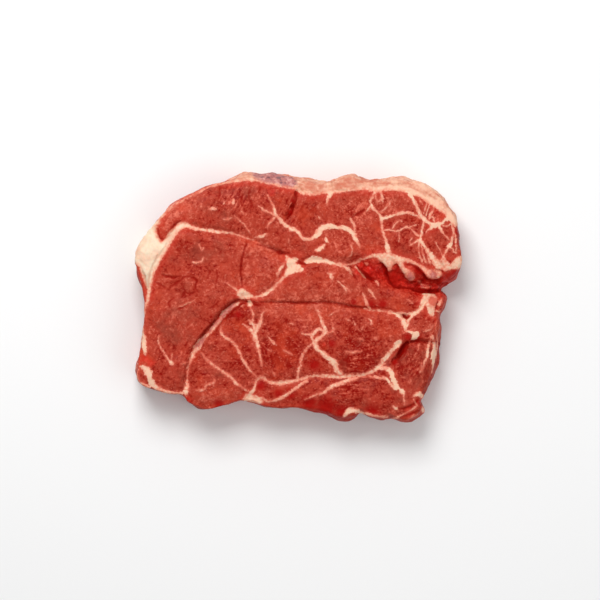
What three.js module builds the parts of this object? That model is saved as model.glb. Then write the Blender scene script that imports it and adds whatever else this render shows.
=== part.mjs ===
// A boneless beef chuck roast: one thick slab sawn across the shoulder, lying on its lower cut face.
// Several muscles meet in the slab, so its upper face swells between seams, with a deep gap beside
// the largest muscle and a torn hollow at one end, and a lean side bulges past the cut edge.
// Millimetres, +Z up. X runs along the slab, and +Y points across it to the fat cap.
// The origin lies on the surface under the slab, below the middle of its bounding box.
import * as THREE from "three";

// Driving dimensions
const LENGTH = 248;
const WIDTH = 190.5;
const THICKNESS = 40;

// How finely the surface is divided: ring k of the cut face has 6k points
const RINGS = 36;
const SIDE_ROWS = 7;
const AROUND = 6 * RINGS;

// The silhouette seen from above, anticlockwise from the tip beside the torn hollow
const SILHOUETTE = [
  [126.5, 27], [124, 41], [122.5, 52], [120.5, 63.5], [115, 71], [110, 80], [102, 86], [92, 90.5],
  [78, 93], [64, 92], [52, 92], [43, 96.5], [35, 94.5], [29, 91.5], [17, 90.5], [6, 93], [-8, 96],
  [-20, 98], [-31, 96], [-42, 97], [-56, 90.5], [-68, 87.5], [-79, 82], [-92, 75.5], [-104, 65],
  [-112, 55], [-120.5, 44], [-125.5, 31], [-124, 22], [-121, 12], [-118.5, -2], [-118, -15],
  [-119.5, -31], [-122.5, -45], [-125, -60.5], [-122, -66.5], [-110, -70], [-99, -73],
  [-89.5, -74], [-83.5, -81], [-72, -86], [-58, -82.5], [-45, -79], [-34, -80], [-24, -84.5],
  [-8, -85], [9, -86.5], [24, -90.5], [32, -94.5], [39, -95], [44, -93], [48.5, -89], [57, -93],
  [65, -94], [72, -92], [80, -95], [87, -95], [97.5, -87.5], [95.5, -80], [99, -72], [104, -63],
  [107.5, -50], [109.5, -36], [111.5, -23.5], [110, -13], [113, -6], [115.5, 1.5], [111, 7],
  [115, 11.5], [121.5, 15.5],
];

// Its small bumps fade above and below the widest level, where the outline is evened out over
// this many points each way, by this share at the cut edge and wholly at the resting face
const EVEN_OUT = 5;
const EVEN_AT_EDGE = 0.45;

// The side leans out past the cut edge by LEAN, and by more around each flank
const LEAN = 2.6;
const FLANKS = [
  { at: [108, -45], reach: 34, lean: 7 }, // trimmed end, below the notch
  { at: [55, -92], reach: 48, lean: 5.5 }, // front edge
  { at: [-18, 94], reach: 26, lean: 7.5 }, // skin on the cap
  { at: [72, 91], reach: 44, lean: 4 }, // thick part of the cap
  { at: [118, 14], reach: 12, lean: 7 }, // tip beside the torn hollow
];

// The side from the cut edge down to its widest level: share of the lean, share of the height
const WIDEST = 0.46;
const SIDE_PROFILE = [
  [1, 1], [0.62, 0.955], [0.28, 0.84], [0.06, 0.64], [0, WIDEST],
];
// Below its widest level the side tucks in by FOOT_TUCK: share of the tuck, share of the height
const FOOT_TUCK = 6.5;
const FOOT_PROFILE = [
  [0, WIDEST], [0.08, 0.26], [0.32, 0.1], [0.66, 0.025], [1, 0],
];
// The widest level wanders up and down around the slab: by how much, and how many times
const SAG = 0.4;
const SAG_TURNS = 3;

// The cut face: how it falls towards its edge, and how far each muscle swells from its seams
const EDGE_FALL = 3.4;
const EDGE_REACH = 7;
const SWELL = 1.6;
const SWELL_REACH = 9;

// Seams and gaps in the cut face. A route runs with its steep wall on the left: left and right are
// the widths of the two walls, and depth is how far the floor lies below the face.
const SEAMS = [
  { // deep gap between the big muscle and the front one
    route: [[-85, -62], [-82, -47], [-76, -33], [-67, -22], [-57, -10], [-48, -2], [-40, -1.5]],
    left: 3, right: 7, depth: 8.5,
  },
  { // seam along the middle, from the gap to the trimmed end
    route: [[-42, -2], [-22, -3], [0, -3.5], [20, -3], [36, -5.5], [54, -9], [68, -10], [80, -13],
      [90, -9.5], [97, -2], [102, 6]],
    left: 3, right: 3.6, depth: 3.6,
  },
  { // seam under the upper muscle, from the fat wedge to the knot of fat
    route: [[-106, 50], [-102, 44.5], [-97, 50], [-90, 56], [-80, 54], [-60, 50.5], [-45, 48],
      [-30, 42], [-14, 34.5], [0, 28]],
    left: 2.6, right: 3.4, depth: 2.2,
  },
  { // seam from the knot of fat down to the gap
    route: [[0, 28], [-8, 22], [-14, 13], [-21, 6], [-30, 1.5], [-42, 1]],
    left: 3, right: 3, depth: 1.8,
  },
  { // seam along the lower edge of the eye, up to the torn hollow
    route: [[0, 28], [14, 29], [28, 26.5], [40, 26.5], [48, 29.5]],
    left: 2.6, right: 3, depth: 2,
  },
  { // seam of the front muscles
    route: [[-36, -74], [-30, -62], [-14, -64], [6, -60], [30, -59.5], [52, -57.5], [64, -50],
      [76, -35]],
    left: 2.5, right: 2.5, depth: 1.2,
  },
  { // pocket in the trimmed end
    route: [[72, -47], [79, -39], [86, -32.5], [100, -33]],
    left: 2.6, right: 4, depth: 4.6,
  },
  { // knife slit in the upper muscle
    route: [[-1, 81], [-3, 73], [-8, 62]],
    left: 2.8, right: 2.8, depth: 3,
  },
];

// The torn hollow under the eye's lower edge: a trough, then the torn lobes that lie in it
const HOLLOW = {
  route: [[45, 26], [54, 22], [66, 18], [80, 14], [94, 9.5], [112, 10]],
  left: 7, right: 8, depth: 9.5,
};
const LOBES = [
  { at: [54, 21.5], length: 10, width: 5.8, turn: -50, rise: 5.6 },
  { at: [73, 16], length: 11, width: 5.6, turn: -38, rise: 5.8 },
  { at: [89, 15.5], length: 9, width: 5.8, turn: -30, rise: 5.2 },
  { at: [104, 14], length: 8, width: 5.5, turn: -5, rise: 5 },
];
const LOBES_REACH = 13; // the lobes fade out this far from the middle of the hollow

const SNAP = 0.95; // a point this near to a seam slides on to it, so that its floor runs unbroken
const SEAM_STEP = 1.5;
const WAVES = [ // gentle unevenness of the flesh: wavelength, heading in degrees, height
  [83, 20, 0.7], [57, 105, 0.5], [31, 64, 0.3], [23, 150, 0.22],
];
const SIDE_LUMPS = [ // unevenness of the side: count around the slab, turns down the side, depth
  [13, 0.8, 2.2], [22, -1.1, 1.4], [37, 1.7, 0.8],
];
const MEAT = { color: 0xb8493a, roughness: 0.42, metalness: 0 };

const smooth = (points, closed) =>
  new THREE.CatmullRomCurve3(
    points.map(([x, y]) => new THREE.Vector3(x, y, 0)), closed, "centripetal",
  );

// The silhouette as AROUND evenly spaced points
function silhouettePoints() {
  const points = smooth(SILHOUETTE, true).getSpacedPoints(AROUND).slice(0, AROUND);
  return points.map((p) => new THREE.Vector2(p.x, p.y));
}

function routePoints(route) {
  const curve = smooth(route, false);
  return curve.getSpacedPoints(Math.ceil(curve.getLength() / SEAM_STEP));
}

// Distance from (x, y) to a line of points, positive to the left of its direction
function measure(line, x, y) {
  let best = { far: Infinity, signed: Infinity, x, y };
  for (let i = 0; i + 1 < line.length; i++) {
    const a = line[i];
    const b = line[i + 1];
    const dx = b.x - a.x;
    const dy = b.y - a.y;
    const along = THREE.MathUtils.clamp(
      ((x - a.x) * dx + (y - a.y) * dy) / (dx * dx + dy * dy), 0, 1,
    );
    const px = a.x + along * dx;
    const py = a.y + along * dy;
    const far = Math.hypot(x - px, y - py);
    if (far < best.far) {
      const side = dx * (y - a.y) - dy * (x - a.x) < 0 ? -1 : 1;
      best = { far, signed: side * far, x: px, y: py };
    }
  }
  return best;
}

const bell = (distance, width) => Math.exp(-((distance / width) ** 2));

function trough(shape, x, y) {
  const { far, signed } = measure(shape.line, x, y);
  return shape.depth * bell(far, signed > 0 ? shape.left : shape.right);
}

function lobe({ at, length, width, turn, rise }, x, y) {
  const angle = THREE.MathUtils.degToRad(turn);
  const along = (x - at[0]) * Math.cos(angle) + (y - at[1]) * Math.sin(angle);
  const across = (y - at[1]) * Math.cos(angle) - (x - at[0]) * Math.sin(angle);
  return rise * bell(Math.hypot(along / length, across / width), 1);
}

const withLine = (shape) => ({ ...shape, line: routePoints(shape.route) });
const silhouette = silhouettePoints();
const seams = SEAMS.map(withLine);
const hollow = withLine(HOLLOW);

function lean(point) {
  return FLANKS.reduce(
    (sum, f) => sum + f.lean * bell(Math.hypot(point.x - f.at[0], point.y - f.at[1]), f.reach),
    LEAN,
  );
}

// Radius of the silhouette at each point, and the same with its small bumps evened out
const radii = silhouette.map((p) => p.length());
const evenRadii = radii.map((_, i) => {
  let sum = 0;
  for (let step = -EVEN_OUT; step <= EVEN_OUT; step++) {
    sum += radii[(i + step + AROUND) % AROUND];
  }
  return sum / (2 * EVEN_OUT + 1);
});

// The point of the outline drawn in towards the origin, which keeps it free of loops
function outlinePoint(i, evenness, inset) {
  const radius = THREE.MathUtils.lerp(radii[i], Math.min(radii[i], evenRadii[i]), evenness);
  return silhouette[i].clone().setLength(radius - inset);
}

const cutEdge = silhouette.map((p, i) => outlinePoint(i, EVEN_AT_EDGE, lean(p)));
const closedEdge = [...cutEdge, cutEdge[0]];

// Height of the cut face above the resting face
function faceHeight(x, y) {
  const edge = measure(closedEdge, x, y).far;
  const nearestSeam = Math.min(...seams.map((s) => measure(s.line, x, y).far));
  let height = THICKNESS - SWELL - EDGE_FALL * bell(edge, EDGE_REACH);
  height += SWELL * (1 - Math.exp(-nearestSeam / SWELL_REACH));
  for (const [wavelength, heading, amount] of WAVES) {
    const angle = THREE.MathUtils.degToRad(heading);
    const phase = (x * Math.cos(angle) + y * Math.sin(angle)) / wavelength;
    height += amount * Math.sin(2 * Math.PI * phase);
  }
  height -= Math.max(...seams.map((s) => trough(s, x, y)));
  height -= trough(hollow, x, y);
  const inHollow = bell(measure(hollow.line, x, y).far, LOBES_REACH);
  return height + inHollow * Math.max(...LOBES.map((l) => lobe(l, x, y)));
}

// A point on or near a seam slides on to it
function snapped(x, y) {
  for (const seam of seams) {
    const near = measure(seam.line, x, y);
    if (near.far < SNAP) return [near.x, near.y];
  }
  return [x, y];
}

// Lumps of the side wall, strongest at its widest level
function lump(around, level) {
  return SIDE_LUMPS.reduce((sum, [count, slant, depth]) => {
    const phase = 2 * Math.PI * (count * around / AROUND + slant * level);
    return sum + depth * (1 - Math.cos(phase)) / 2;
  }, 0) * Math.sin(Math.PI * level);
}

const positions = [];
const triangles = [];
const addPoint = (x, y, z) => positions.push(x, y, z) / 3 - 1;

// The point of the cut edge at a place counted in its points, between two of them
function edgeAt(place) {
  const whole = Math.floor(place);
  return cutEdge[whole].clone().lerp(cutEdge[(whole + 1) % AROUND], place - whole);
}

// The cut face: rings that are smaller copies of its edge, eased on to the seams
function cutFace() {
  const rings = [[addPoint(0, 0, faceHeight(0, 0))]];
  for (let ring = 1; ring <= RINGS; ring++) {
    const points = [];
    for (let i = 0; i < 6 * ring; i++) {
      const at = edgeAt(i * RINGS / ring).multiplyScalar(ring / RINGS);
      const [x, y] = ring < RINGS ? snapped(at.x, at.y) : [at.x, at.y];
      points.push(addPoint(x, y, faceHeight(x, y)));
    }
    rings.push(points);
  }
  for (let ring = 1; ring <= RINGS; ring++) {
    stitchRings(rings[ring - 1], rings[ring], ring);
  }
  return rings[RINGS];
}

// Joins a ring of 6k points to the one inside it, sixth by sixth
function stitchRings(inner, outer, k) {
  for (let sixth = 0; sixth < 6; sixth++) {
    for (let i = 0; i < k; i++) {
      const a = outer[sixth * k + i];
      const b = outer[(sixth * k + i + 1) % outer.length];
      const c = inner[(sixth * (k - 1) + i) % inner.length];
      triangles.push(a, b, c);
      if (i + 1 < k) triangles.push(c, b, inner[(sixth * (k - 1) + i + 1) % inner.length]);
    }
  }
}

// Value of a profile of [share, level] pairs at a level, straight between them
function profileAt(profile, level) {
  const i = Math.max(1, profile.findIndex(([, at]) => at <= level));
  const [share0, level0] = profile[i - 1];
  const [share1, level1] = profile[i];
  return THREE.MathUtils.mapLinear(level, level0, level1, share0, share1);
}

// The side wall: rows from the cut edge down to the resting face, closest together at both ends
function sideWall(edgeRow) {
  let above = edgeRow;
  for (let row = 1; row <= SIDE_ROWS; row++) {
    const height = row === SIDE_ROWS ? 0 : (1 + Math.cos(Math.PI * row / SIDE_ROWS)) / 2;
    const points = silhouette.map((p, i) => {
      const wander = SAG * Math.sin(2 * Math.PI * SAG_TURNS * i / AROUND);
      const level = height ** (1 + wander);
      const leaning = level > WIDEST;
      const inset = leaning
        ? lean(p) * profileAt(SIDE_PROFILE, level)
        : FOOT_TUCK * profileAt(FOOT_PROFILE, level);
      const evenness = leaning
        ? EVEN_AT_EDGE * THREE.MathUtils.smoothstep(level, WIDEST, 1)
        : 1 - THREE.MathUtils.smoothstep(level, 0, WIDEST);
      const at = outlinePoint(i, evenness, inset + lump(i, level));
      return addPoint(at.x, at.y, height * positions[3 * edgeRow[i] + 2]);
    });
    points.forEach((low, i) => {
      const next = (i + 1) % AROUND;
      triangles.push(above[i], low, above[next], above[next], low, points[next]);
    });
    above = points;
  }
  return above;
}

// The flat resting face
function restingFace(row) {
  const outline = row.map((i) => new THREE.Vector2(positions[3 * i], positions[3 * i + 1]));
  for (const [a, b, c] of THREE.ShapeUtils.triangulateShape(outline, [])) {
    triangles.push(row[a], row[c], row[b]);
  }
}

function roast() {
  restingFace(sideWall(cutFace()));
  const geometry = new THREE.BufferGeometry();
  geometry.setAttribute("position", new THREE.Float32BufferAttribute(positions, 3));
  geometry.setIndex(triangles);
  geometry.computeBoundingBox();
  const middle = geometry.boundingBox.getCenter(new THREE.Vector3());
  const size = geometry.boundingBox.getSize(new THREE.Vector3());
  geometry.translate(-middle.x, -middle.y, 0);
  geometry.scale(LENGTH / size.x, WIDTH / size.y, 1);
  geometry.computeVertexNormals();
  const mesh = new THREE.Mesh(geometry, new THREE.MeshStandardMaterial(MEAT));
  mesh.name = "roast";
  return mesh;
}

const beefChuckRoast = new THREE.Group();
beefChuckRoast.add(roast());

export default beefChuckRoast;
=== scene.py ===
# Looks of a raw beef chuck roast: one thick slab with its muscles, seams of fat and fat cap.
# The shape is worked out in millimetres and set down in metres, in the part's own frame:
# X along the slab, +Y towards the fat cap, +Z up out of the upper cut face.
import math
from functools import reduce

import bpy
import numpy as np
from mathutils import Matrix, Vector, noise


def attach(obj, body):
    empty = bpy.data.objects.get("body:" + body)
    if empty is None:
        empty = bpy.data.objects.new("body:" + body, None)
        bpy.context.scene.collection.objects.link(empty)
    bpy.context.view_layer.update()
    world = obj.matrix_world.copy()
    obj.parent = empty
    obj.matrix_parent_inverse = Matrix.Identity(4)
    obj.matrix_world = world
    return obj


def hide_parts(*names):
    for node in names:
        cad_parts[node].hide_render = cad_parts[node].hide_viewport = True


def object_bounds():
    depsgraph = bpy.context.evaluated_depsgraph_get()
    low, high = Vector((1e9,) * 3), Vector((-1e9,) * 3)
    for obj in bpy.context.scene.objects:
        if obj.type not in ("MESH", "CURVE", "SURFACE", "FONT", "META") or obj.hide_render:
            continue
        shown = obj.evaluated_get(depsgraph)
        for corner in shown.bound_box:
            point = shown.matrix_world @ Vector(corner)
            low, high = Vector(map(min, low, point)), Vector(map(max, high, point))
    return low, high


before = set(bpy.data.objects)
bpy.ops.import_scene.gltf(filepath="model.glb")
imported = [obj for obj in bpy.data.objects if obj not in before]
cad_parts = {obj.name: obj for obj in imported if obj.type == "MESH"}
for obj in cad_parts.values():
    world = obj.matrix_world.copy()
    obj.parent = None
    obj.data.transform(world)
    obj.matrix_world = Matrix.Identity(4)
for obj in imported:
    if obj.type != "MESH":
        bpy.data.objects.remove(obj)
solid_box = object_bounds()

MM = 0.001
NOTHING = 1e-9  # stands in for zero in a division
CURVE_STEPS = 24  # straight steps between two given points of a smooth curve

# The slab's sizes, as in its solid
THICKNESS = 40
SILHOUETTE = [
    (126.5, 27), (124, 41), (122.5, 52), (120.5, 63.5), (115, 71), (110, 80), (102, 86),
    (92, 90.5), (78, 93), (64, 92), (52, 92), (43, 96.5), (35, 94.5), (29, 91.5), (17, 90.5),
    (6, 93), (-8, 96), (-20, 98), (-31, 96), (-42, 97), (-56, 90.5), (-68, 87.5), (-79, 82),
    (-92, 75.5), (-104, 65), (-112, 55), (-120.5, 44), (-125.5, 31), (-124, 22), (-121, 12),
    (-118.5, -2), (-118, -15), (-119.5, -31), (-122.5, -45), (-125, -60.5), (-122, -66.5),
    (-110, -70), (-99, -73), (-89.5, -74), (-83.5, -81), (-72, -86), (-58, -82.5), (-45, -79),
    (-34, -80), (-24, -84.5), (-8, -85), (9, -86.5), (24, -90.5), (32, -94.5), (39, -95),
    (44, -93), (48.5, -89), (57, -93), (65, -94), (72, -92), (80, -95), (87, -95), (97.5, -87.5),
    (95.5, -80), (99, -72), (104, -63), (107.5, -50), (109.5, -36), (111.5, -23.5), (110, -13),
    (113, -6), (115.5, 1.5), (111, 7), (115, 11.5), (121.5, 15.5),
]
EVEN_OUT = 18  # the foot's outline is evened over this many outline points each way
EVEN_AT_EDGE = 0.45  # how much of that the cut edge shows
LEAN = 2.6  # how far the cut edge lies inside the widest level
FLANKS = [  # place, reach, lean
    ((108, -45), 34, 7),
    ((55, -92), 48, 5.5),
    ((-18, 94), 26, 7.5),
    ((72, 91), 44, 4),
    ((118, 14), 12, 7),
]
WIDEST = 0.46  # share of the height at which the slab is widest
SIDE_PROFILE = [(0, WIDEST), (0.06, 0.64), (0.28, 0.84), (0.62, 0.955), (1, 1)]  # share of lean, level
FOOT_TUCK = 6.5  # how far the foot lies inside the widest level
FOOT_PROFILE = [(1, 0), (0.66, 0.025), (0.32, 0.1), (0.08, 0.26), (0, WIDEST)]  # share of tuck, level
SAG = 0.4  # how strongly the levels rise and fall around the slab
SAG_TURNS = 3
SIDE_LUMPS = [(13, 0.8, 2.2), (22, -1.1, 1.4), (37, 1.7, 0.8)]  # count, slant, depth

# How finely the surface is divided
CUTS = (12, 11)
RINGS = CUTS[0] * CUTS[1]
AROUND = 6 * RINGS
WALL_ROWS = 44
ROWS_TO_RIMS = 0.4  # how strongly the rows crowd towards the wall's two rims
BASE_CUTS = (11, 4)
BASE_RIM = 0.985
TINY = 1e-4

# The cut face
EDGE_FALL = 3.0  # how far the face falls off towards the cut edge
EDGE_REACH = 5.5
SWELL = 1.6  # how far the muscles swell up between their seams
SWELL_REACH = 9
WAVES = [(83, 20, 0.7), (57, 105, 0.5), (31, 64, 0.3), (23, 150, 0.22)]  # length, heading, height
SEAMS = [  # route, width of the left wall, width of the right wall, depth
    ([(-85, -62), (-82, -47), (-76, -33), (-67, -22), (-57, -10), (-48, -2), (-40, -1.5)], 1.2, 6, 4.4),
    ([(-42, -2), (-22, -3), (0, -3.5), (20, -3), (36, -5.5), (54, -9), (68, -10), (80, -13),
      (90, -9.5), (97, -2), (102, 6)], 1.3, 1.7, 1.4),
    ([(-106, 50), (-102, 44.5), (-97, 50), (-90, 56), (-80, 54), (-60, 50.5), (-45, 48),
      (-30, 42), (-14, 34.5), (0, 28)], 2.6, 3.4, 2),
    ([(0, 28), (-8, 22), (-14, 13), (-21, 6), (-30, 1.5), (-42, 1)], 3, 3, 1.6),
    ([(0, 28), (14, 29), (28, 26.5), (40, 26.5), (48, 29.5)], 2.6, 3, 1.8),
    ([(-36, -74), (-30, -62), (-14, -64), (6, -60), (30, -59.5), (52, -57.5), (64, -50),
      (76, -35)], 2.5, 2.5, 1),
    ([(72, -47), (79, -39), (86, -32.5), (100, -33)], 1.5, 2.2, 2.8),
    ([(-1, 81), (-3, 73), (-8, 62)], 1.0, 1.2, 1.2),
]
HOLLOW = ([(45, 26), (54, 22), (66, 18), (80, 14), (94, 9.5), (112, 10)], 6.5, 8, 9.5)
LOBES_REACH = 13
LOBES = [  # place, length, width, turn in degrees, rise
    ((46, 21), 8, 3.2, -48, 3),
    ((55.5, 21.5), 9.5, 5.6, -42, 6.4),
    ((71, 17.5), 9.5, 5, -38, 6.2),
    ((84, 16.5), 8, 4.2, -50, 6),
    ((96, 17.5), 9, 5, -28, 6.2),
    ((109, 15), 7, 5.5, 5, 5.6),
    ((97, 8.4), 8, 2.4, -8, 3.4),
]
WARP = (0.8, 6.5)  # how far grooves and lobes wander, in steps of this size
APART = 50  # shift that makes the wandering across differ from that along
UNEVEN = (1.0, 2.0, 2)  # how unevenness softens and shrinks from octave to octave, and its octaves
LUMPS = (9.5, 1.0, 0.32)  # lumps in the hollow: size, height, how much of a lump is its rounded rim


# Fat in the cut face, stroke by stroke: points on the stroke's middle line as x, y and its width
# there, in millimetres. The sheets of fat that these strokes show run down through the slab.
LEFT_FAT = [
    # seam under the upper muscle, from the wedge towards the knot
    [(-88, 57, 3), (-84, 55.5, 3.8), (-80, 53.5, 2.8), (-70, 52, 2.8), (-60, 50.3, 2.6), (-52, 49.6, 1.9),
     (-46, 48.3, 1.8), (-40, 46, 1.4), (-34, 44.3, 1.1)],
    # thin rind over the rounded shoulder
    [(-103.4, 62.2, 2.6), (-98, 67.2, 2.2), (-91.4, 72, 2), (-84.6, 75.8, 1.6), (-77.8, 79.2, 2),
     (-70.6, 82.8, 1.8), (-66, 84.8, 1.8), (-61, 86.6, 2.4)],
    # knot down to the gap
    [(-8, 19, 2.8), (-12, 15.5, 2.2), (-16, 10.8, 2.2), (-20, 7, 2.5), (-25, 3.8, 3), (-30, 1.6, 2.4),
     (-34, 0.8, 1.6)],
    [(-11, 26.5, 1.6), (-12.6, 23.3, 3), (-15, 19.4, 2.4), (-15.5, 16.5, 1)],
    [(-54, 11.6, 1.2), (-50, 9, 1.5), (-46, 5.8, 1.8)],
    # rim of the left muscle
    [(-112.6, 5, 3), (-114, -1, 2.4), (-115.6, -8, 2), (-116.8, -15, 1.8), (-117.4, -22, 2.4),
     (-117, -29, 3.2), (-116.4, -35, 4.4), (-115.6, -40, 3), (-115, -43, 1.2)],
    [(-119.6, -51.4, 2), (-116.8, -52, 4.4), (-114, -54.4, 6), (-112.6, -59, 5.4), (-111.2, -62.8, 4.8),
     (-109, -65.8, 3.8), (-104, -68.8, 3), (-99, -70.4, 2.4), (-93, -71.6, 2.4), (-87.4, -71.6, 2.4)],
    [(-120.6, -53.4, 1), (-121.6, -58.5, 1.4), (-119.8, -63, 1.8), (-116, -65.8, 1.8), (-111.6, -67, 1.6)],
    # threads in the left muscle
    [(-105, -28, 0.8), (-105.5, -33, 1.2), (-103, -38.5, 1.1), (-100, -43, 1.3), (-97.8, -46.4, 2),
     (-95.6, -48.8, 3.2), (-94.6, -50, 2)],
    [(-96.2, -46.5, 1), (-95.6, -43.5, 1), (-95.4, -41.5, 0.6)],
    [(-90.5, -6.2, 0.8), (-86, -4.8, 1.2), (-82, -3, 1.2), (-78.3, -0.8, 0.8)],
    [(-80.2, 27.2, 1), (-77, 27.2, 1.5), (-73.8, 27.6, 1.5), (-72.2, 29.2, 1.4), (-71.3, 31.2, 0.9)],
    [(-75, 41, 0.6), (-74, 38.2, 0.9), (-73, 36.2, 0.8), (-71.4, 38.6, 0.8)],
]
UPPER_FAT = [
    # wavy trunk through the upper muscle
    [(-29.8, 69.8, 1), (-26, 66.8, 1.7), (-22, 64.9, 1.9), (-18, 63, 2.4), (-15, 61.2, 2.3),
     (-12.5, 58, 2.8), (-9, 54.8, 2.8), (-5, 52.5, 3.2), (-1, 51, 3), (1.5, 48, 2.4), (4, 45.3, 3),
     (8, 44.9, 2.6), (12, 46.3, 3), (15.6, 49.8, 4.4), (19.2, 53.5, 4.8), (24, 54.6, 4.8), (29, 53.6, 3.2),
     (34, 53.6, 3), (38, 52.2, 3), (41, 49.5, 3.6), (43, 46, 3.2), (45, 42, 2.2), (46.8, 38.6, 1)],
    [(-23.6, 78.2, 0.8), (-21, 74.4, 1.2), (-19, 70.4, 1.8), (-18, 67, 2.8), (-17.6, 63.5, 2.4)],
    [(-17, 62, 1.8), (-20, 58.6, 1.8), (-22.5, 55.6, 1.5), (-23.2, 53.2, 1)],
    [(39.3, 60.8, 1.2), (41.2, 57.2, 1.8), (42.6, 54, 1.8), (43, 50.6, 1.6)],
    [(-56.2, 59.8, 0.9), (-53, 60.2, 1.4), (-50.4, 61.4, 0.9)],
    [(-48.2, 62.6, 0.8), (-44, 58.6, 1), (-41, 56.4, 1.1), (-38, 52, 0.9), (-36.4, 49, 0.8)],
    [(24.4, 80.5, 4.4), (23, 76.5, 2.8), (22, 73.4, 1.7), (21.4, 70.8, 0.9)],
    # loose flakes of fat
    [(-67.2, 67.4, 1.5), (-64.5, 67.8, 2.4), (-61.8, 67.4, 1.8)], [(-49, 75, 1.8), (-49, 71.6, 2.4)],
    [(-73.2, 71.8, 1), (-73, 69, 1.3)], [(-56.2, 74.4, 1), (-56, 71.4, 1.2)],
    [(-43, 66, 0.7), (-40.8, 63.8, 1)], [(-91.2, 64.4, 1.2), (-91, 62, 0.9)],
    [(-32.4, 46, 1.6), (-28, 46.9, 2.6), (-23.4, 48.6, 1.4)], [(-7.4, 45, 0.9), (-7, 42.6, 1.3)],
    [(13, 36.2, 1.8), (15.5, 37, 3.2), (18.5, 38.9, 3.2), (20.2, 41, 1.4)],
    [(20.4, 45.8, 1.4), (21.2, 44, 2.4), (22.8, 42, 0.9)],
    [(40, 41, 0.7), (40.6, 37, 0.9), (40, 33, 0.8), (37.4, 30.4, 0.7)],
    [(14.6, 69.5, 1.4), (15.6, 68.2, 0.9)], [(15.4, 61.8, 1.5), (17, 60.2, 0.9)],
]
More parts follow.
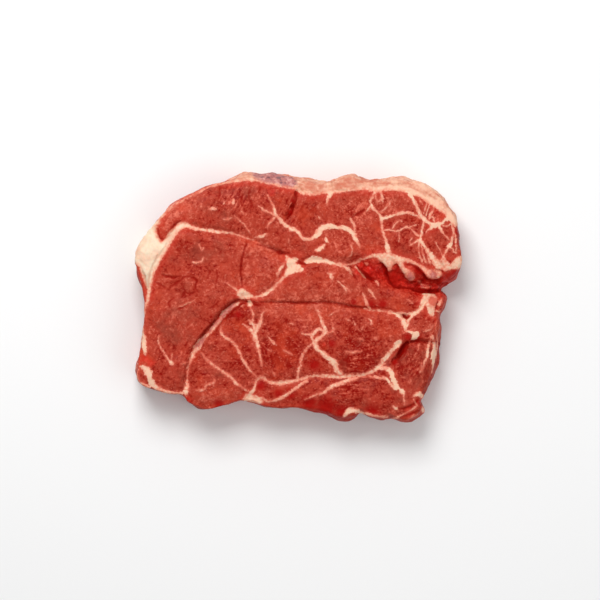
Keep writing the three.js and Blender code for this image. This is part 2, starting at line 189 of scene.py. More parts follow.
WEB_FAT = [
    # down the left side of the web, from the cap to the lip of the hollow
    [(58, 80.5, 3), (55.6, 76.5, 2), (54.6, 73.4, 1.9), (55.6, 70, 2.3), (58, 66.6, 2), (61, 64, 1.7),
     (62.8, 61, 2.5), (63.2, 57, 1.9), (63.6, 52, 2.1), (65, 47.5, 1.7), (66.5, 43.5, 2.1), (67.3, 40, 3.2),
     (68, 36.5, 4.4), (68.6, 33, 5)],
    [(58.6, 80.5, 1.4), (58.6, 76, 1.4), (59.6, 73.6, 1.6), (61.6, 73.4, 1.4), (63.6, 75, 1.8),
     (63.2, 78, 2.1), (62, 81, 2.2)],
    [(63.8, 75, 1.4), (64, 72.6, 0.9)], [(55.2, 70, 1.7), (53, 67.6, 1.3), (51, 65.8, 0.8)],
    [(63, 60.6, 3.2), (67, 61, 3), (70, 62.2, 2.1), (74, 63.5, 2.3), (79, 64.6, 2.3), (84, 64.6, 1.9),
     (88, 63.3, 1.5), (92, 61.4, 1.5), (95, 59.4, 1.8)],
    [(62.4, 65.4, 1.1), (66, 68, 1.2), (69, 71.6, 0.9), (70.2, 74.6, 0.6)],
    [(84, 80.5, 4.4), (86, 76.2, 3), (88, 72, 2.5), (90.5, 67.2, 2.3), (93, 62.8, 2.4), (95.6, 59.8, 2.6),
     (99, 57.2, 2.4), (103, 55.8, 3), (108, 57, 2.6), (112, 59.8, 3), (114.5, 62.5, 4)],
    [(100.6, 53.6, 2.1), (98.6, 51.7, 1.5), (96.8, 49.8, 0.9)],
    [(106, 54.4, 2.6), (108.4, 51, 1.9), (111, 47.6, 1.5), (114.2, 44, 1)],
    [(108.4, 55, 1.2), (112, 54.6, 1), (115.2, 56.4, 1.2)],
    [(95.6, 59, 2), (94.5, 55, 1.7), (93.5, 51, 1.7), (93, 47.5, 2.1), (92.6, 44.6, 3.2)],
    [(92, 45, 2.8), (93.4, 42.4, 2.6), (96.2, 38.4, 2.6), (98.6, 34.6, 3.4), (101.4, 30.8, 4.6),
     (104.4, 27.4, 5.4), (107, 23.6, 5)],
    [(91.4, 44.4, 2.4), (89.4, 42.8, 1.9), (87, 41.6, 1.2), (83.8, 40, 0.7)],
    [(91.8, 43.4, 1.8), (91, 39.5, 1.2), (91, 36, 1.1), (92, 32, 1.3), (93.4, 28, 2)],
    [(93.2, 41, 1.2), (93.6, 37, 1), (94.6, 32.4, 1.3), (96.4, 27.6, 1.9)],
    [(95, 38, 1), (97.2, 34.2, 1.2), (98.4, 30, 1.4), (99.6, 26.4, 2)],
    [(86.4, 45.6, 0.6), (84.4, 43, 0.7), (84.8, 40.6, 0.5)],
    [(64, 51.5, 1.3), (68, 51.8, 1.3), (72, 51.5, 1.1), (76, 51, 1.2), (79, 53, 1.2), (82, 54, 1.3),
     (85, 52.8, 1.1), (88, 49.6, 1.1), (91.6, 46.6, 1.3)],
    [(84, 54, 1), (86.8, 55, 0.9), (89.2, 55.6, 0.6)],
    [(71.2, 52.4, 0.9), (73, 56, 1.1), (75.8, 58.6, 1), (78.4, 58.4, 0.7)],
    [(76, 50.4, 0.7), (76.6, 46.5, 0.8), (76, 43, 0.6)], [(91.2, 76, 0.8), (92.4, 73.6, 1), (94, 71, 0.7)],
    [(97.9, 74.6, 0.9), (97.2, 71.6, 1), (96, 67.6, 1.1), (94.8, 63.6, 0.9)],
    [(99.6, 73.4, 1), (98.6, 69.6, 1.1), (97.4, 65.6, 1.2), (96, 61.4, 1.2)],
    [(103.2, 69.8, 1.2), (101.6, 66.6, 1.3), (100.2, 63.6, 1.7), (99, 60, 1.6)],
    [(100.6, 62.4, 1.4), (102.4, 60, 1.2), (103, 57.6, 1.4)],
    # net at the right end
    [(114.5, 62, 3.2), (116.2, 57, 1.7), (117, 52, 1.7), (117.2, 47.6, 1.7), (116, 43.6, 2),
     (114.4, 39.4, 3.2), (112.4, 36.4, 1.7), (110.6, 33.8, 2), (109.6, 31.6, 2.8), (111.6, 28.4, 2.2),
     (113.6, 25.6, 2.6)],
    [(103.8, 43.2, 0.8), (105.8, 39, 1), (107.4, 35.8, 1.1), (109.6, 31.8, 1.6), (111.8, 27, 1.4)],
    [(109.6, 31.6, 1.8), (107.6, 27.6, 2), (107, 24, 3)],
    [(117.6, 49.6, 1.2), (119.4, 45.4, 1.1), (119.2, 40.4, 1.2), (119.6, 36, 1.6)],
    [(115.6, 38.4, 1.2), (117.6, 35.8, 1.2), (119.8, 34.6, 1.8)],
    [(116.6, 61, 1.4), (119.6, 58.6, 2), (121.4, 55, 2)],
]
MIDDLE_FAT = [
    # seam along the eye's lower edge
    [(5.5, 28.4, 3), (9, 29, 4.4), (13, 29.8, 4.8), (17, 29.3, 3.8), (22, 27.7, 3.2), (28, 26.4, 2.4),
     (33, 25.8, 1.8), (38, 25.7, 1.5), (43, 27, 2), (47, 29.3, 2), (52, 31, 2.2), (58, 32.3, 3)],
    [(31.6, 25.2, 1.4), (35.4, 23.7, 2.3), (38.6, 21.6, 2.3), (40.8, 17.6, 1)],
    [(43.4, 24.4, 2), (46, 22.2, 1.6), (48.4, 19.2, 1.3), (50.8, 15.6, 0.8)],
    [(50.5, 27, 1.2), (52.5, 26.2, 1.6)], [(58.6, 13.6, 1.4), (60, 12, 1.8), (60.4, 9.6, 0.8)],
    [(100.6, 9, 0.8), (97, 8.2, 1), (93.4, 8.4, 0.7)], [(90.6, 13.6, 0.6), (94, 10.6, 0.9), (98, 9.4, 0.6)],
    [(22, 19.4, 1), (24.6, 18.6, 2.6), (25.4, 16, 2.4), (25.8, 13.6, 1)],
    [(24.8, 18.4, 1.6), (28, 19, 0.7)],
    [(29.8, 13.4, 0.9), (33, 10, 1.4), (35.4, 7.6, 2), (36.4, 4.6, 0.8)], [(35.6, 8, 1.6), (38.2, 7, 0.8)],
    [(52.8, 7, 1.4), (55, 5, 2), (56.6, 2.4, 2), (58.4, -0.4, 1)],
    [(49, 4.2, 1), (50, 0.6, 1.8), (51.5, -3, 1.8), (53, -6.4, 1.5), (56, -8.8, 1.5)],
    # seam along the middle, and its fork at the hole
    [(50, -7.6, 1.2), (54, -8.6, 1.7), (60, -8.8, 1.9), (66, -9.5, 1.9), (71, -10.8, 2.8),
     (75.4, -12.6, 3.8), (78.6, -15.6, 3.8), (80, -19.6, 4), (81.2, -23.4, 3)],
    [(74, -10.6, 1.4), (78, -11, 1.8), (82, -11.6, 2), (86.4, -11.8, 3), (90, -10.2, 3.2), (93, -6.6, 3),
     (96, -2.5, 3.4), (98.8, 0.8, 3)],
    [(86.4, -12.8, 2.8), (83.8, -16, 2.4), (82.2, -19.5, 2.2), (81.4, -22.6, 2)],
    [(81, -24, 2), (84, -25.2, 2.3), (87.6, -26.4, 1.6)],
    [(86.2, -30.4, 2.6), (88.3, -28.2, 4.6), (90.4, -25.8, 3)],
    [(106, -5.4, 1.8), (107.4, -2.8, 2.8), (108.2, -0.6, 1.4)], [(104, -9.4, 1.4), (107.4, -9.8, 2)],
    [(83, -1, 1), (86.5, -3.4, 1)],
]
FRONT_FAT = [
    # skin of the front muscle, standing in the gap
    [(-84, -53, 1.4), (-81.8, -47.5, 2.3), (-78.8, -41.8, 3.6), (-75.6, -36.2, 5), (-72.4, -31.4, 3.6),
     (-68, -27, 2.6), (-64, -22, 3), (-60, -17, 3.2), (-56, -11.8, 3.2), (-52, -7.8, 3), (-48, -4.8, 2.4),
     (-44.5, -3.2, 1.4)],
    [(-82.4, -50, 0.8), (-83.4, -55, 1.2), (-84, -61, 1.2), (-84.2, -65.5, 2.8), (-84.4, -69.5, 4.6),
     (-85, -72.4, 2.6)],
    [(-88.5, -49.5, 0.7), (-85, -48.8, 1.2), (-82.4, -47.4, 1)],
    [(-73.4, -41, 1), (-70, -45.5, 1.8), (-66, -49, 2), (-61, -52.8, 2.2), (-54.8, -57, 2.2),
     (-49.6, -60.6, 2.5), (-47, -64, 2.6), (-43.2, -66.4, 1.4), (-38, -70, 1.2), (-35, -72, 1)],
    [(-58.6, -21, 0.9), (-58.6, -25, 1.8), (-56, -29, 1.8), (-51.5, -31.5, 2), (-48, -34.5, 2.2),
     (-45.3, -39, 2), (-42.6, -44.8, 2), (-39, -50.7, 2.1), (-35.4, -55, 1.7), (-33, -58, 1.1),
     (-30.6, -60, 0.8)],
    # star
    [(-42, -19.4, 1), (-38.5, -21.4, 1.8), (-35, -24.5, 2.8), (-32.6, -28, 4.3), (-31, -33, 3.8),
     (-30, -38, 2.5), (-29, -43, 1.9), (-28, -48, 1.5), (-27.4, -51.4, 0.8)],
    [(-33, -26, 3.8), (-31, -22.5, 3.6), (-28.8, -19.4, 3), (-27.8, -15, 2), (-27.4, -11.4, 1.4),
     (-24.4, -9, 0.8), (-21, -9, 0.6)],
    [(-33, -25, 3), (-33.4, -21, 2.8), (-35.6, -18, 2.8), (-37.6, -16.4, 1.4)],
    [(-34.6, -18.5, 2.2), (-34, -14, 1.6), (-34.6, -10, 1.2), (-36.4, -6, 1.1), (-37, -2.4, 1.8)],
    [(-36.4, -5.4, 3.4), (-37, -2, 3.4)], [(-43.4, -5.4, 0.9), (-41, -5, 1.3)],
    [(-23.2, -28.4, 1), (-20.6, -31.4, 1.7), (-18.4, -33.8, 1.9), (-16.4, -35.2, 0.8)],
    [(-11.4, -38.8, 0.7), (-8, -40.5, 1.4), (-4.6, -42.6, 0.8)], [(-23, -39, 0.6), (-20, -39.6, 0.9)],
    # rings near the front edge
    [(-77, -69.4, 0.8), (-73.4, -69.4, 1.3), (-70.6, -68.6, 1.5), (-69.2, -65.9, 1.8), (-66, -64.6, 1.8),
     (-64, -64, 2), (-63, -61.4, 1.1)],
    [(-64.4, -64.6, 1.2), (-63.6, -66.6, 0.8)],
    [(-72, -71.5, 0.6), (-71.4, -74.5, 0.9), (-72.6, -77.5, 0.7)],
    # seam of the front muscles
    [(-37, -73.6, 4), (-35, -70.4, 3.2), (-33, -67, 2.4), (-32.4, -62.6, 1.8)],
    [(-32.6, -63, 1.4), (-30.4, -60.3, 2), (-27, -60, 2.3), (-23.4, -62, 2.3), (-19.4, -63.6, 2.8),
     (-15, -64, 3.2), (-9, -63.2, 3.1), (-3, -62.4, 2.4), (3, -60.8, 2.4), (9, -59.2, 3.1),
     (16, -58.6, 2.7), (23, -59, 2.7), (30, -59, 3.5), (37, -58.8, 3.3), (44, -58, 3), (51, -57.2, 2.8),
     (55, -56, 2.8), (59, -53.4, 3.2), (63, -50, 3.8), (66, -45.5, 3.6), (69.4, -41, 3), (72, -37.6, 3.8),
     (75.4, -34.6, 4.8), (77.2, -32, 3)],
    [(-38, -74, 4.4), (-34, -75.6, 4.4), (-28.8, -75.4, 2.6), (-23, -77.6, 2), (-17, -77.2, 2.3),
     (-12, -74.8, 2.5), (-7, -71.6, 2.4), (-2, -68, 2.4), (3, -64.6, 2.2), (7, -62, 1.9)],
    # forked branch over the front centre
    [(12.8, -5.6, 1), (15, -10, 1.8), (17, -15, 2), (18.6, -19.5, 2.4), (20.2, -23, 3.4), (20, -26, 3),
     (17.4, -29, 2.6), (14, -31.5, 3), (12.4, -34, 3.4), (14, -37.6, 3.2), (17.4, -40.6, 3),
     (21, -43.2, 3.4), (24.5, -46.3, 4.6), (27.6, -49.5, 5.6), (28.8, -53, 4), (30.8, -56, 5.2),
     (33.2, -57.6, 3.2)],
    [(19, -24, 2), (16, -23.4, 2.4), (13, -25, 2.3), (11, -27.4, 2.5), (10.6, -30, 2.4), (12, -32.4, 2.6)],
    [(2.4, -25.8, 0.8), (5.4, -27, 1.5), (8.5, -27.4, 2.1), (11, -27.5, 2.2)],
    [(11.4, -33.4, 1.3), (7.6, -37, 1.4), (4, -41, 2), (2.6, -45, 2.2), (1.6, -50, 2.2), (0.4, -55, 2.2),
     (0, -59, 2), (0, -62, 2)],
    [(20.6, -27.4, 1), (24, -25.6, 1), (26.6, -23.8, 1.8), (26, -21, 0.9)],
    [(23.4, -13.4, 0.8), (27, -11, 1), (30.4, -9.2, 0.8)],
    [(45.6, -59.6, 2.2), (41, -61, 2.6), (36, -62.6, 2.6), (31, -64.6, 2.8), (26, -66.2, 2.8),
     (22.4, -68.6, 2.6), (19.4, -71, 2.1), (14, -73, 1.8), (9, -75, 1.5), (4.6, -76.4, 0.9)],
    [(53, -58.6, 1.7), (58, -59.6, 1.9), (63, -60.1, 1.9), (67, -61, 2.1), (69.2, -64, 2.5), (72, -67, 2.1),
     (75, -68.6, 2.5)],
    [(61.6, -52.6, 3), (66, -52.5, 3), (69.2, -54.6, 4.2), (71.2, -58.4, 4.2), (72.6, -62, 4),
     (74.2, -65.8, 3.6), (76, -68, 2.6), (78, -70, 3.8), (80, -71.8, 2.6)],
    [(79.8, -72, 1.4), (80, -76, 1.1), (80.4, -80.5, 0.9)],
    # flakes
    [(53, -15.4, 1.2), (55, -16.4, 1.8), (55.4, -19.6, 1.4)], [(36, -15.4, 1), (38.4, -16.6, 1.2)],
    [(41.6, -17.4, 0.9), (43, -20, 1.4)], [(49.4, -21.4, 1.2), (48, -23.4, 0.8)],
    [(57.6, -29.8, 1.7), (59.6, -31.2, 1)], [(46, -30, 0.7), (49, -31.4, 1)],
    [(36, -40.2, 0.9), (40, -40.6, 1.6), (44.6, -40.2, 1.2), (48, -39.6, 0.6)],
    [(-18.6, -56.4, 1.6), (-17.4, -58.4, 0.9)], [(-3.6, -19.4, 0.8), (-6.6, -19, 1)],
    [(71.6, -81.6, 1.8), (74.4, -83.2, 3.2)],
]
FLANK_FAT = [
    [(101.4, -27.6, 1.6), (102.6, -32, 2), (103.2, -36.6, 3), (103.2, -41, 4.2), (102.8, -46, 4.2),
     (102.2, -51, 2.6), (101.6, -57, 1.2)],
    [(100.6, -28.4, 1.2), (99.4, -33, 1.3), (98.2, -38, 2), (97.3, -43.6, 2.2), (95.4, -49, 1.4),
     (93.4, -55.4, 0.8)],
    [(104.8, -27, 1), (106, -33, 1.6), (106.4, -40, 1.6), (105.6, -47, 1.2)],
    [(102.2, -19.6, 1), (99.4, -23.4, 1.5), (94.6, -25.2, 0.9)], [(91.4, -34.4, 0.9), (90.6, -39.4, 1)],
    [(93.6, -49, 0.8), (92.4, -56, 1)],
    [(86.6, -74.4, 1.4), (89.4, -73, 3), (92.4, -73, 4), (95, -75.6, 2)],
    [(87.4, -75.6, 1), (88.4, -78.6, 1.2), (90, -80.8, 1)],
    [(93.6, -83.4, 2), (96.2, -86, 3.4), (97.6, -88.4, 2)],
    [(34.6, -89.4, 2), (37, -86.6, 3.2), (39.6, -84.6, 4.2), (44, -85, 3.2), (49, -86.3, 2.6), (55, -88, 2),
     (61, -89, 1.9), (68, -89.6, 2)],
    [(73, -91.4, 2), (77, -88.8, 1.6), (81.6, -86.8, 1.2), (86.4, -83.6, 1.4), (90.4, -81, 1.2)],
    [(83.6, -91, 1), (87, -89, 1.6), (91, -88.4, 1)],
]

# Broad patches of fat, as outlines
WEDGE = [
    (-101.6, 67), (-103.4, 62), (-104.2, 57.4), (-106.4, 54), (-106.4, 49), (-104.6, 45.4),
    (-102.6, 43.8), (-100.2, 46), (-97.6, 50), (-93, 55), (-89, 58), (-85, 57.4), (-83, 54.4),
    (-88, 51.6), (-92, 47.4), (-96, 41.4), (-100, 34.2), (-105, 26), (-109, 17), (-111, 8),
    (-112.4, 0), (-113.4, -3), (-113.8, 2), (-115, 8), (-117, 13.6), (-119, 19), (-121.4, 24.6),
    (-128, 27.5), (-131, 38), (-123, 49), (-114, 59), (-106, 69),
]
CAP = [
    (-62, 85.4), (-57, 86), (-51, 87), (-43, 88.4), (-36, 88.8), (-30, 88), (-22, 86), (-14, 84.2),
    (-8, 83.2), (-2, 81.6), (2, 79), (6, 77.8), (13, 77.6), (19, 79), (24, 78.6), (30, 79.4),
    (40, 81), (50, 81.8), (58, 80.2), (65, 81), (72, 81.4), (80, 80.2), (84, 79), (88, 77.8),
    (94, 74.4), (100, 70.4), (106, 66.6), (110.4, 63.4), (112.4, 60), (116, 57.4), (118.6, 54),
    (126, 60), (124, 76), (111, 90), (98, 97), (80, 102), (40, 104), (0, 103), (-40, 105),
    (-60, 98), (-66, 90),
]
PATCHES = [
    WEDGE,
    CAP,
    # knot of fat in the middle
    [(-9.6, 33.4), (-6, 30.6), (-2, 31.2), (0.6, 30.4), (-0.6, 28), (-1.6, 26.6), (1.4, 25.2),
     (4, 22.6), (2.4, 20), (-3, 19), (-7, 17.4), (-11, 15.6), (-10.2, 20), (-8.4, 24), (-9.4, 28.6)],
    # node over the gap
    [(-46.6, 4.2), (-43.4, 7.6), (-40.8, 7), (-37, 4.4), (-32.6, 2), (-30, 0.4), (-36, 0), (-44, 0)],
    # lip of the torn hollow, with its flaps
    [(55, 33.4), (60, 34.2), (66, 34.6), (72, 33.4), (80, 31.2), (87, 28.6), (92, 26), (96.4, 23.4),
     (102, 21.8), (107.8, 21), (109, 18.6), (106.6, 15.8), (101.8, 15), (98, 15.8), (95.4, 18.8),
     (92.8, 22.4), (88.6, 25), (83.4, 27), (79.4, 27.6), (80.4, 24.4), (84.4, 21.6), (87.6, 18.4),
     (87.8, 15), (84.8, 13), (81.8, 15.2), (79.4, 19.6), (76.6, 23.8), (74, 26.8), (71.6, 24.4),
     (70.2, 20.6), (68, 20.2), (67, 23.4), (64.6, 26), (61.6, 28.2), (59, 30.6)],
    # lower right end of the web
    [(106, 23.4), (108, 28), (110.6, 31), (112, 28), (114.4, 25.4), (117, 28), (119.6, 31.4),
     (125, 32), (126, 26), (121, 22.2), (116, 22.2), (111, 20.6)],
    # node in the right of the web
    [(98.4, 57.4), (101, 57.2), (107, 57.8), (106.2, 54.8), (104.4, 53), (102.2, 53.2),
     (100, 51.4), (99.6, 54.4)],
    # patch at the end of the middle seam
    [(92, -4.8), (92.8, -1.6), (94, 1), (93.4, 3.6), (98.4, 4.2), (103.6, 3.2), (105, 0.6),
     (104.6, -3.6), (103.4, -8), (102.6, -13.2), (99.4, -13.2), (97.8, -10), (97, -6.6), (94.4, -5)],
    # corner at the front
    [(-42, -76.6), (-38.4, -71.6), (-34, -72.6), (-29, -74.6), (-25.4, -77.6), (-31, -80), (-38, -79.4)],
]
MEMBRANES = [
    [(-34, 91), (-29, 88.6), (-18, 85.8), (-8, 84.2), (-1.6, 85), (-2, 92.6), (-10, 100),
     (-28, 102), (-35, 97)],
    [(-78, -38), (-74, -37), (-66, -26), (-58, -16), (-48, -6), (-44, -2), (-46, -1), (-56, -9),
     (-66, -21), (-75, -32)],
    [(99, 20), (103, 21.4), (105.6, 19.4), (104.6, 16.4), (101, 15.6), (98.4, 17)],
    [(83, 18), (86, 18.4), (87.2, 15.6), (85.6, 13.6), (83, 14.6)],
]
# Pinker streaks in the cap: route and width
CAP_STREAKS = [
    ([(44, 89.4), (52, 88.6), (62, 87.6), (72, 87), (82, 86.6)], 1.2),
    ([(104, 79), (109, 75), (114, 69), (117.4, 63)], 1),
    ([(2, 87), (8, 84), (14, 81), (18, 79.6)], 1.2),
    ([(24, 88), (30, 86.4), (36, 85.4)], 1.2),
    ([(-58, 88.4), (-50, 89.4), (-44, 89)], 1.4),
    ([(118, 60), (120, 54)], 2.4),
]
# Places where the flesh is painted deepest red: its own darkest red, and painted shade in the pockets,
# crevices and slits: x, y, reach
BLOOD_AND_SHADE_PLACES = [
    (21, -82, 9), (33, -86, 7), (8, -79, 7), (-6, -72, 5), (-15, -72, 4), (56, -86, 6), (-60, -80, 4.5),
    (12, -50, 5), (25, -34, 3.5), (90, -30, 4), (-45, -12, 3), (55, -5, 5), (64, -4, 4), (-4, 74, 2),
    (118, 18, 7), (42, -3, 3), (-28, -66, 4), (104, -12, 4), (83, -29.4, 3.4), (46, -89, 5), (-6, 65, 2.6),
    (95, 33, 3), (79, -38.6, 4), (91, 21, 4), (76, 22.4, 3), (93, 12, 4), (66, 21, 3.4), (119, 50, 4),
    (119.4, 41, 2.6), (73, -48, 2.6), (90, -79, 3),
]
# Places where it is freshly cut and brightest red: x, y, reach
FRESH = [
    (-116.6, -45, 5), (-111, -48.4, 4), (-84, -77, 5), (20, -35, 3), (119, 14, 4), (106, -14, 5),
    (84, -86, 5), (54, 20, 5), (74, 14.4, 6), (45, 21, 3), (-20, 80, 4),
]

# Creases and knife marks, cut into the relief and painted dark with painted shade: x, y and width
CREASES = [
    [(-1, 82, 1.2), (-2, 79.6, 2.2), (-1.6, 76, 1.5), (-2.6, 72.4, 1.6), (-4.4, 69, 2.6), (-5.4, 65.6, 2),
     (-7.6, 62.6, 2.2), (-8.2, 60.2, 0.8)],
    [(-59.4, 85.5, 1), (-59.4, 80, 1.3), (-60.2, 75.6, 0.8)], [(-28.4, 84.4, 1), (-29.6, 79.8, 1.3)],
    [(-38.6, 41.4, 1), (-41, 36, 1.5), (-42.8, 28, 1.9), (-43.2, 18, 1.8), (-42.4, 9, 1.2)],
    [(40.4, 61, 1.4), (45, 64, 1.8), (50.2, 66.8, 1.1)],
    [(-31, 41.2, 0.8), (-25, 39.5, 1.2), (-20, 37.5, 1.4), (-15, 35.2, 2), (-11, 34, 1.8), (-6, 34.4, 0.8)],
    # marks in the cap: painted shadow lines and dark specks
    [(29, 82.6, 0.7), (33, 82, 1.2), (37, 82.2, 0.7)],
    [(25.8, 88.4, 0.7), (25.2, 86.4, 1.2), (25.8, 84, 0.7)],
    [(0.6, 84.8, 0.9), (2.6, 83, 1.5), (3.6, 81.6, 0.8)], [(9.4, 81, 0.8), (11.2, 79.8, 1.1)],
    # painted shade along the upper side of the seam along the middle
    [(-28, -3, 1.2), (-15, -3, 1.2), (0, -3.4, 1.4), (12, -3.2, 1.2), (20, -3, 1.1), (30, -4.2, 1.3),
     (40, -6.2, 1.8), (50, -7, 1.6), (58, -6.6, 1.4), (66, -7.4, 1), (74, -8.6, 0.8)],
    # painted shade along both sides of the skin in the gap
    [(-82, -42, 0.8), (-79.4, -37, 1.1), (-75.4, -31.6, 1.3), (-71, -26, 1.3), (-66, -20.4, 1.5),
     (-61, -14.4, 1.4), (-55, -8, 1.5), (-50, -3.6, 1.5), (-45, -0.8, 1.2)],
    [(-67, -29.4, 0.6), (-61, -21.6, 0.9), (-56.4, -15.6, 1.1), (-51, -10.8, 1.5), (-47, -7, 1.8),
     (-43, -4, 1.6), (-40.6, -2.6, 1.4)],
    [(-40, -2.4, 1.2), (-33.6, -3.4, 1.8), (-30, -4.6, 1.8), (-26.6, -4.4, 1)],
    # folds in the white fat at the left end
    [(-99, 42, 0.7), (-103.4, 35.4, 1.1), (-106.8, 30.8, 1.5), (-109.8, 25.4, 1.6), (-111.8, 20, 1.5),
     (-113, 14, 1.4), (-113.4, 8, 1)],
    [(-117.6, 21.4, 0.8), (-116.2, 17.4, 1.5), (-115.2, 12, 1.4), (-114.6, 7, 0.9)],
    # fine wrinkles in the left muscle
    [(-103, 18, 1.1), (-98, 16.4, 2), (-92, 16, 1.7), (-88.4, 17.2, 0.9)],
    [(-97, 8, 0.9), (-93, 11.4, 1.6), (-89, 13.6, 1.5), (-86, 17, 0.9)],
    [(-86.4, 16, 0.9), (-81, 16.6, 1.5), (-77, 13.4, 1.9), (-77.6, 8.4, 1.5), (-75.6, 5, 0.9)],
    [(-87.4, 9.4, 1.1), (-86, 5, 1.9), (-88, 0.6, 1.2)],
    [(-86, 5, 0.9), (-81, 3.4, 1.5), (-77.8, 5.4, 0.9)], [(-94, 1, 0.8), (-97.6, -3, 1.4), (-97, -7, 0.9)],
    [(-108, 12.4, 0.7), (-104, 10.6, 1.3), (-100.4, 8, 0.8)],
    [(-70, 24, 0.6), (-67, 20, 1), (-68.4, 15, 0.7)], [(-60, -2, 0.6), (-64, -6, 1), (-68, -7.6, 0.7)],
    [(-87, 40, 0.7), (-84, 42.4, 1), (-79, 41, 0.7)], [(-62, 22, 0.6), (-61, 16, 1), (-63, 10, 0.7)],
    [(-36, 84, 0.8), (-37.4, 77, 1.2), (-35, 70.6, 1.3), (-38, 66.4, 0.9)],
    [(-41.6, 79, 0.7), (-43, 74, 1), (-42, 69.6, 0.7)],
    # torn hollow
    [(44.6, 25.4, 1.4), (47, 22, 2.4), (50.2, 18.2, 3), (54.4, 15.4, 3.2), (58.6, 13.4, 1.6)],
    [(38.6, 20, 1), (42, 17.6, 1.6), (44.4, 14.4, 1)],
    [(62, 28, 1), (63.8, 25.4, 2), (65.4, 21.4, 2.6), (66.4, 17, 2.8), (69.2, 12.8, 2.8), (73.8, 9.4, 2.8),
     (80, 8.8, 2.4), (85, 7.8, 1.8), (89, 6.4, 2.6), (96, 5.4, 3.2), (101, 5.4, 3), (107, 6.4, 2.4)],
    [(71.8, 24, 0.8), (74, 25.8, 1.8), (75.8, 23.6, 0.8)],
    [(82, 25.6, 1), (86.6, 24.8, 1.8), (90.6, 22, 2.6), (93.4, 18.6, 2.8), (96, 15, 2.4), (99.6, 13, 2),
     (105, 13.6, 1.8)],
    [(103, 21.4, 1), (106.4, 21.6, 1.6), (109.6, 20, 1.4)],
    [(106.6, 29, 0.7), (108.6, 26, 1.2), (110.6, 23.6, 1.1)], [(112.6, 29.8, 0.6), (114.8, 27.4, 1)],
    [(70, 29.6, 0.6), (72.4, 27.6, 1.1), (72.6, 25, 0.9)], [(80, 13, 1), (84, 11.4, 1.8), (89, 12.4, 1.6)],
    # hole in the fork, and pocket in the trimmed end
    [(77.2, -12.8, 1.4), (80.4, -13.4, 2.6), (83.6, -14.2, 1.8)],
    [(73.6, -46, 1.2), (76, -43.6, 2.6), (77.8, -40, 3.2), (80, -36.4, 2.8), (83, -33.2, 2.8)],
    [(78, -45.4, 0.8), (80.8, -42, 1.4), (81.6, -38.6, 1.2), (83.6, -35.8, 1.4)],
    [(70.4, -47.4, 0.8), (72.6, -50.4, 1.2), (73, -54, 0.8)],
    [(85, -32.8, 1.8), (90, -32.3, 1.4), (96, -32.6, 1)],
    [(104.2, -7.6, 1.4), (105, -5, 1.8), (105.6, -2.8, 1.2)],
    [(0, 27.4, 1.2), (3, 27, 1.8), (6.4, 25.8, 1)],
    [(-106, 53, 0.8), (-105.8, 49, 1.2), (-104, 45.4, 1.4), (-101.6, 44.6, 1.2), (-97.6, 49.4, 1.6),
     (-93, 55.6, 2), (-88.6, 58.8, 1.2)],
    # painted shade under a thread in the left muscle, and where the trimmed corner folds
    [(-91, -8, 0.8), (-88, -7, 1.4), (-84, -4.4, 1.1), (-81, -2.6, 0.7)],
    [(74, -82.4, 0.8), (78, -83.6, 1.4), (84, -82, 1.8), (88.6, -79.2, 1.8), (90.4, -76.6, 1.2)],
    [(76.6, -90, 0.8), (82, -88.8, 1.4), (87.6, -86.4, 1.4), (92, -84, 0.9)],
]
CREASE_DEPTH = 0.5  # depth of a crease for its width
CREASE_MOST = 1.3  # creases with a larger half width get no deeper
CREASE_LEAST = 0.3  # half width that the finest creases are cut with


def smooth(points, closed=False, step=1.0):
    """Points a step apart on a smooth curve through the given ones; a third number rides along"""
    p = np.array(points, float)
    if closed:
        p = np.vstack([p[-1], p, p[0], p[1]])
    else:
        p = np.vstack([2 * p[0] - p[1], p, 2 * p[-1] - p[-2]])
    p0, p1, p2, p3 = p[:-3], p[1:-2], p[2:-1], p[3:]
    t1, t2, t3 = (np.sqrt(np.linalg.norm((b - a)[:, :2], axis=1))[:, None]
                  for a, b in ((p0, p1), (p1, p2), (p2, p3)))
    leave = t2 * ((p1 - p0) / t1 - (p2 - p0) / (t1 + t2) + (p2 - p1) / t2)
    arrive = t2 * ((p2 - p1) / t2 - (p3 - p1) / (t2 + t3) + (p3 - p2) / t3)
    u = np.linspace(0, 1, CURVE_STEPS, endpoint=False)[None, :, None]
    p1, p2, leave, arrive = (a[:, None, :] for a in (p1, p2, leave, arrive))
    curve = ((2 * u**3 - 3 * u**2 + 1) * p1 + (3 * u**2 - 2 * u**3) * p2
             + (u**3 - 2 * u**2 + u) * leave + (u**3 - u**2) * arrive)
    curve = np.vstack([curve.reshape(-1, p.shape[1]), p[1] if closed else p[-2]])
    length = np.concatenate([[0], np.cumsum(np.linalg.norm(np.diff(curve[:, :2], axis=0), axis=1))])
    count = max(2, round(length[-1] / step) + 1)
    at = np.linspace(0, length[-1], count)
    return np.stack([np.interp(at, length, column) for column in curve.T], axis=1)


def nearest(line, x, y):
    """Distance from a line, and the side of it: 1 is left, -1 right"""
    far = np.full(x.shape, np.inf)
    side = np.ones(x.shape)
    for a, b in zip(line[:-1], line[1:]):
        dx, dy = b[:2] - a[:2]
        share = np.clip(((x - a[0]) * dx + (y - a[1]) * dy) / (dx * dx + dy * dy), 0, 1)
        px = x - a[0] - share * dx
        py = y - a[1] - share * dy
        here = np.hypot(px, py)
        closer = here < far
        far[closer] = here[closer]
        side[closer] = np.where(dx * py - dy * px < 0, -1, 1)[closer]
    return far, side


def bell(distance, width):
    """1 at no distance, falling off smoothly over a width"""
    return np.exp(-((distance / width) ** 2))


def ease_in(value, low, high):
    """0 below low, 1 above high, and smooth between them"""
    share = np.clip((value - low) / (high - low), 0, 1)
    return share * share * (3 - 2 * share)


def trough(route, left, right, depth, x, y):
    """Distance from a groove's line, and the groove's depth"""
    far, side = nearest(smooth(route), x, y)
    return far, depth * bell(far, np.where(side > 0, left, right))


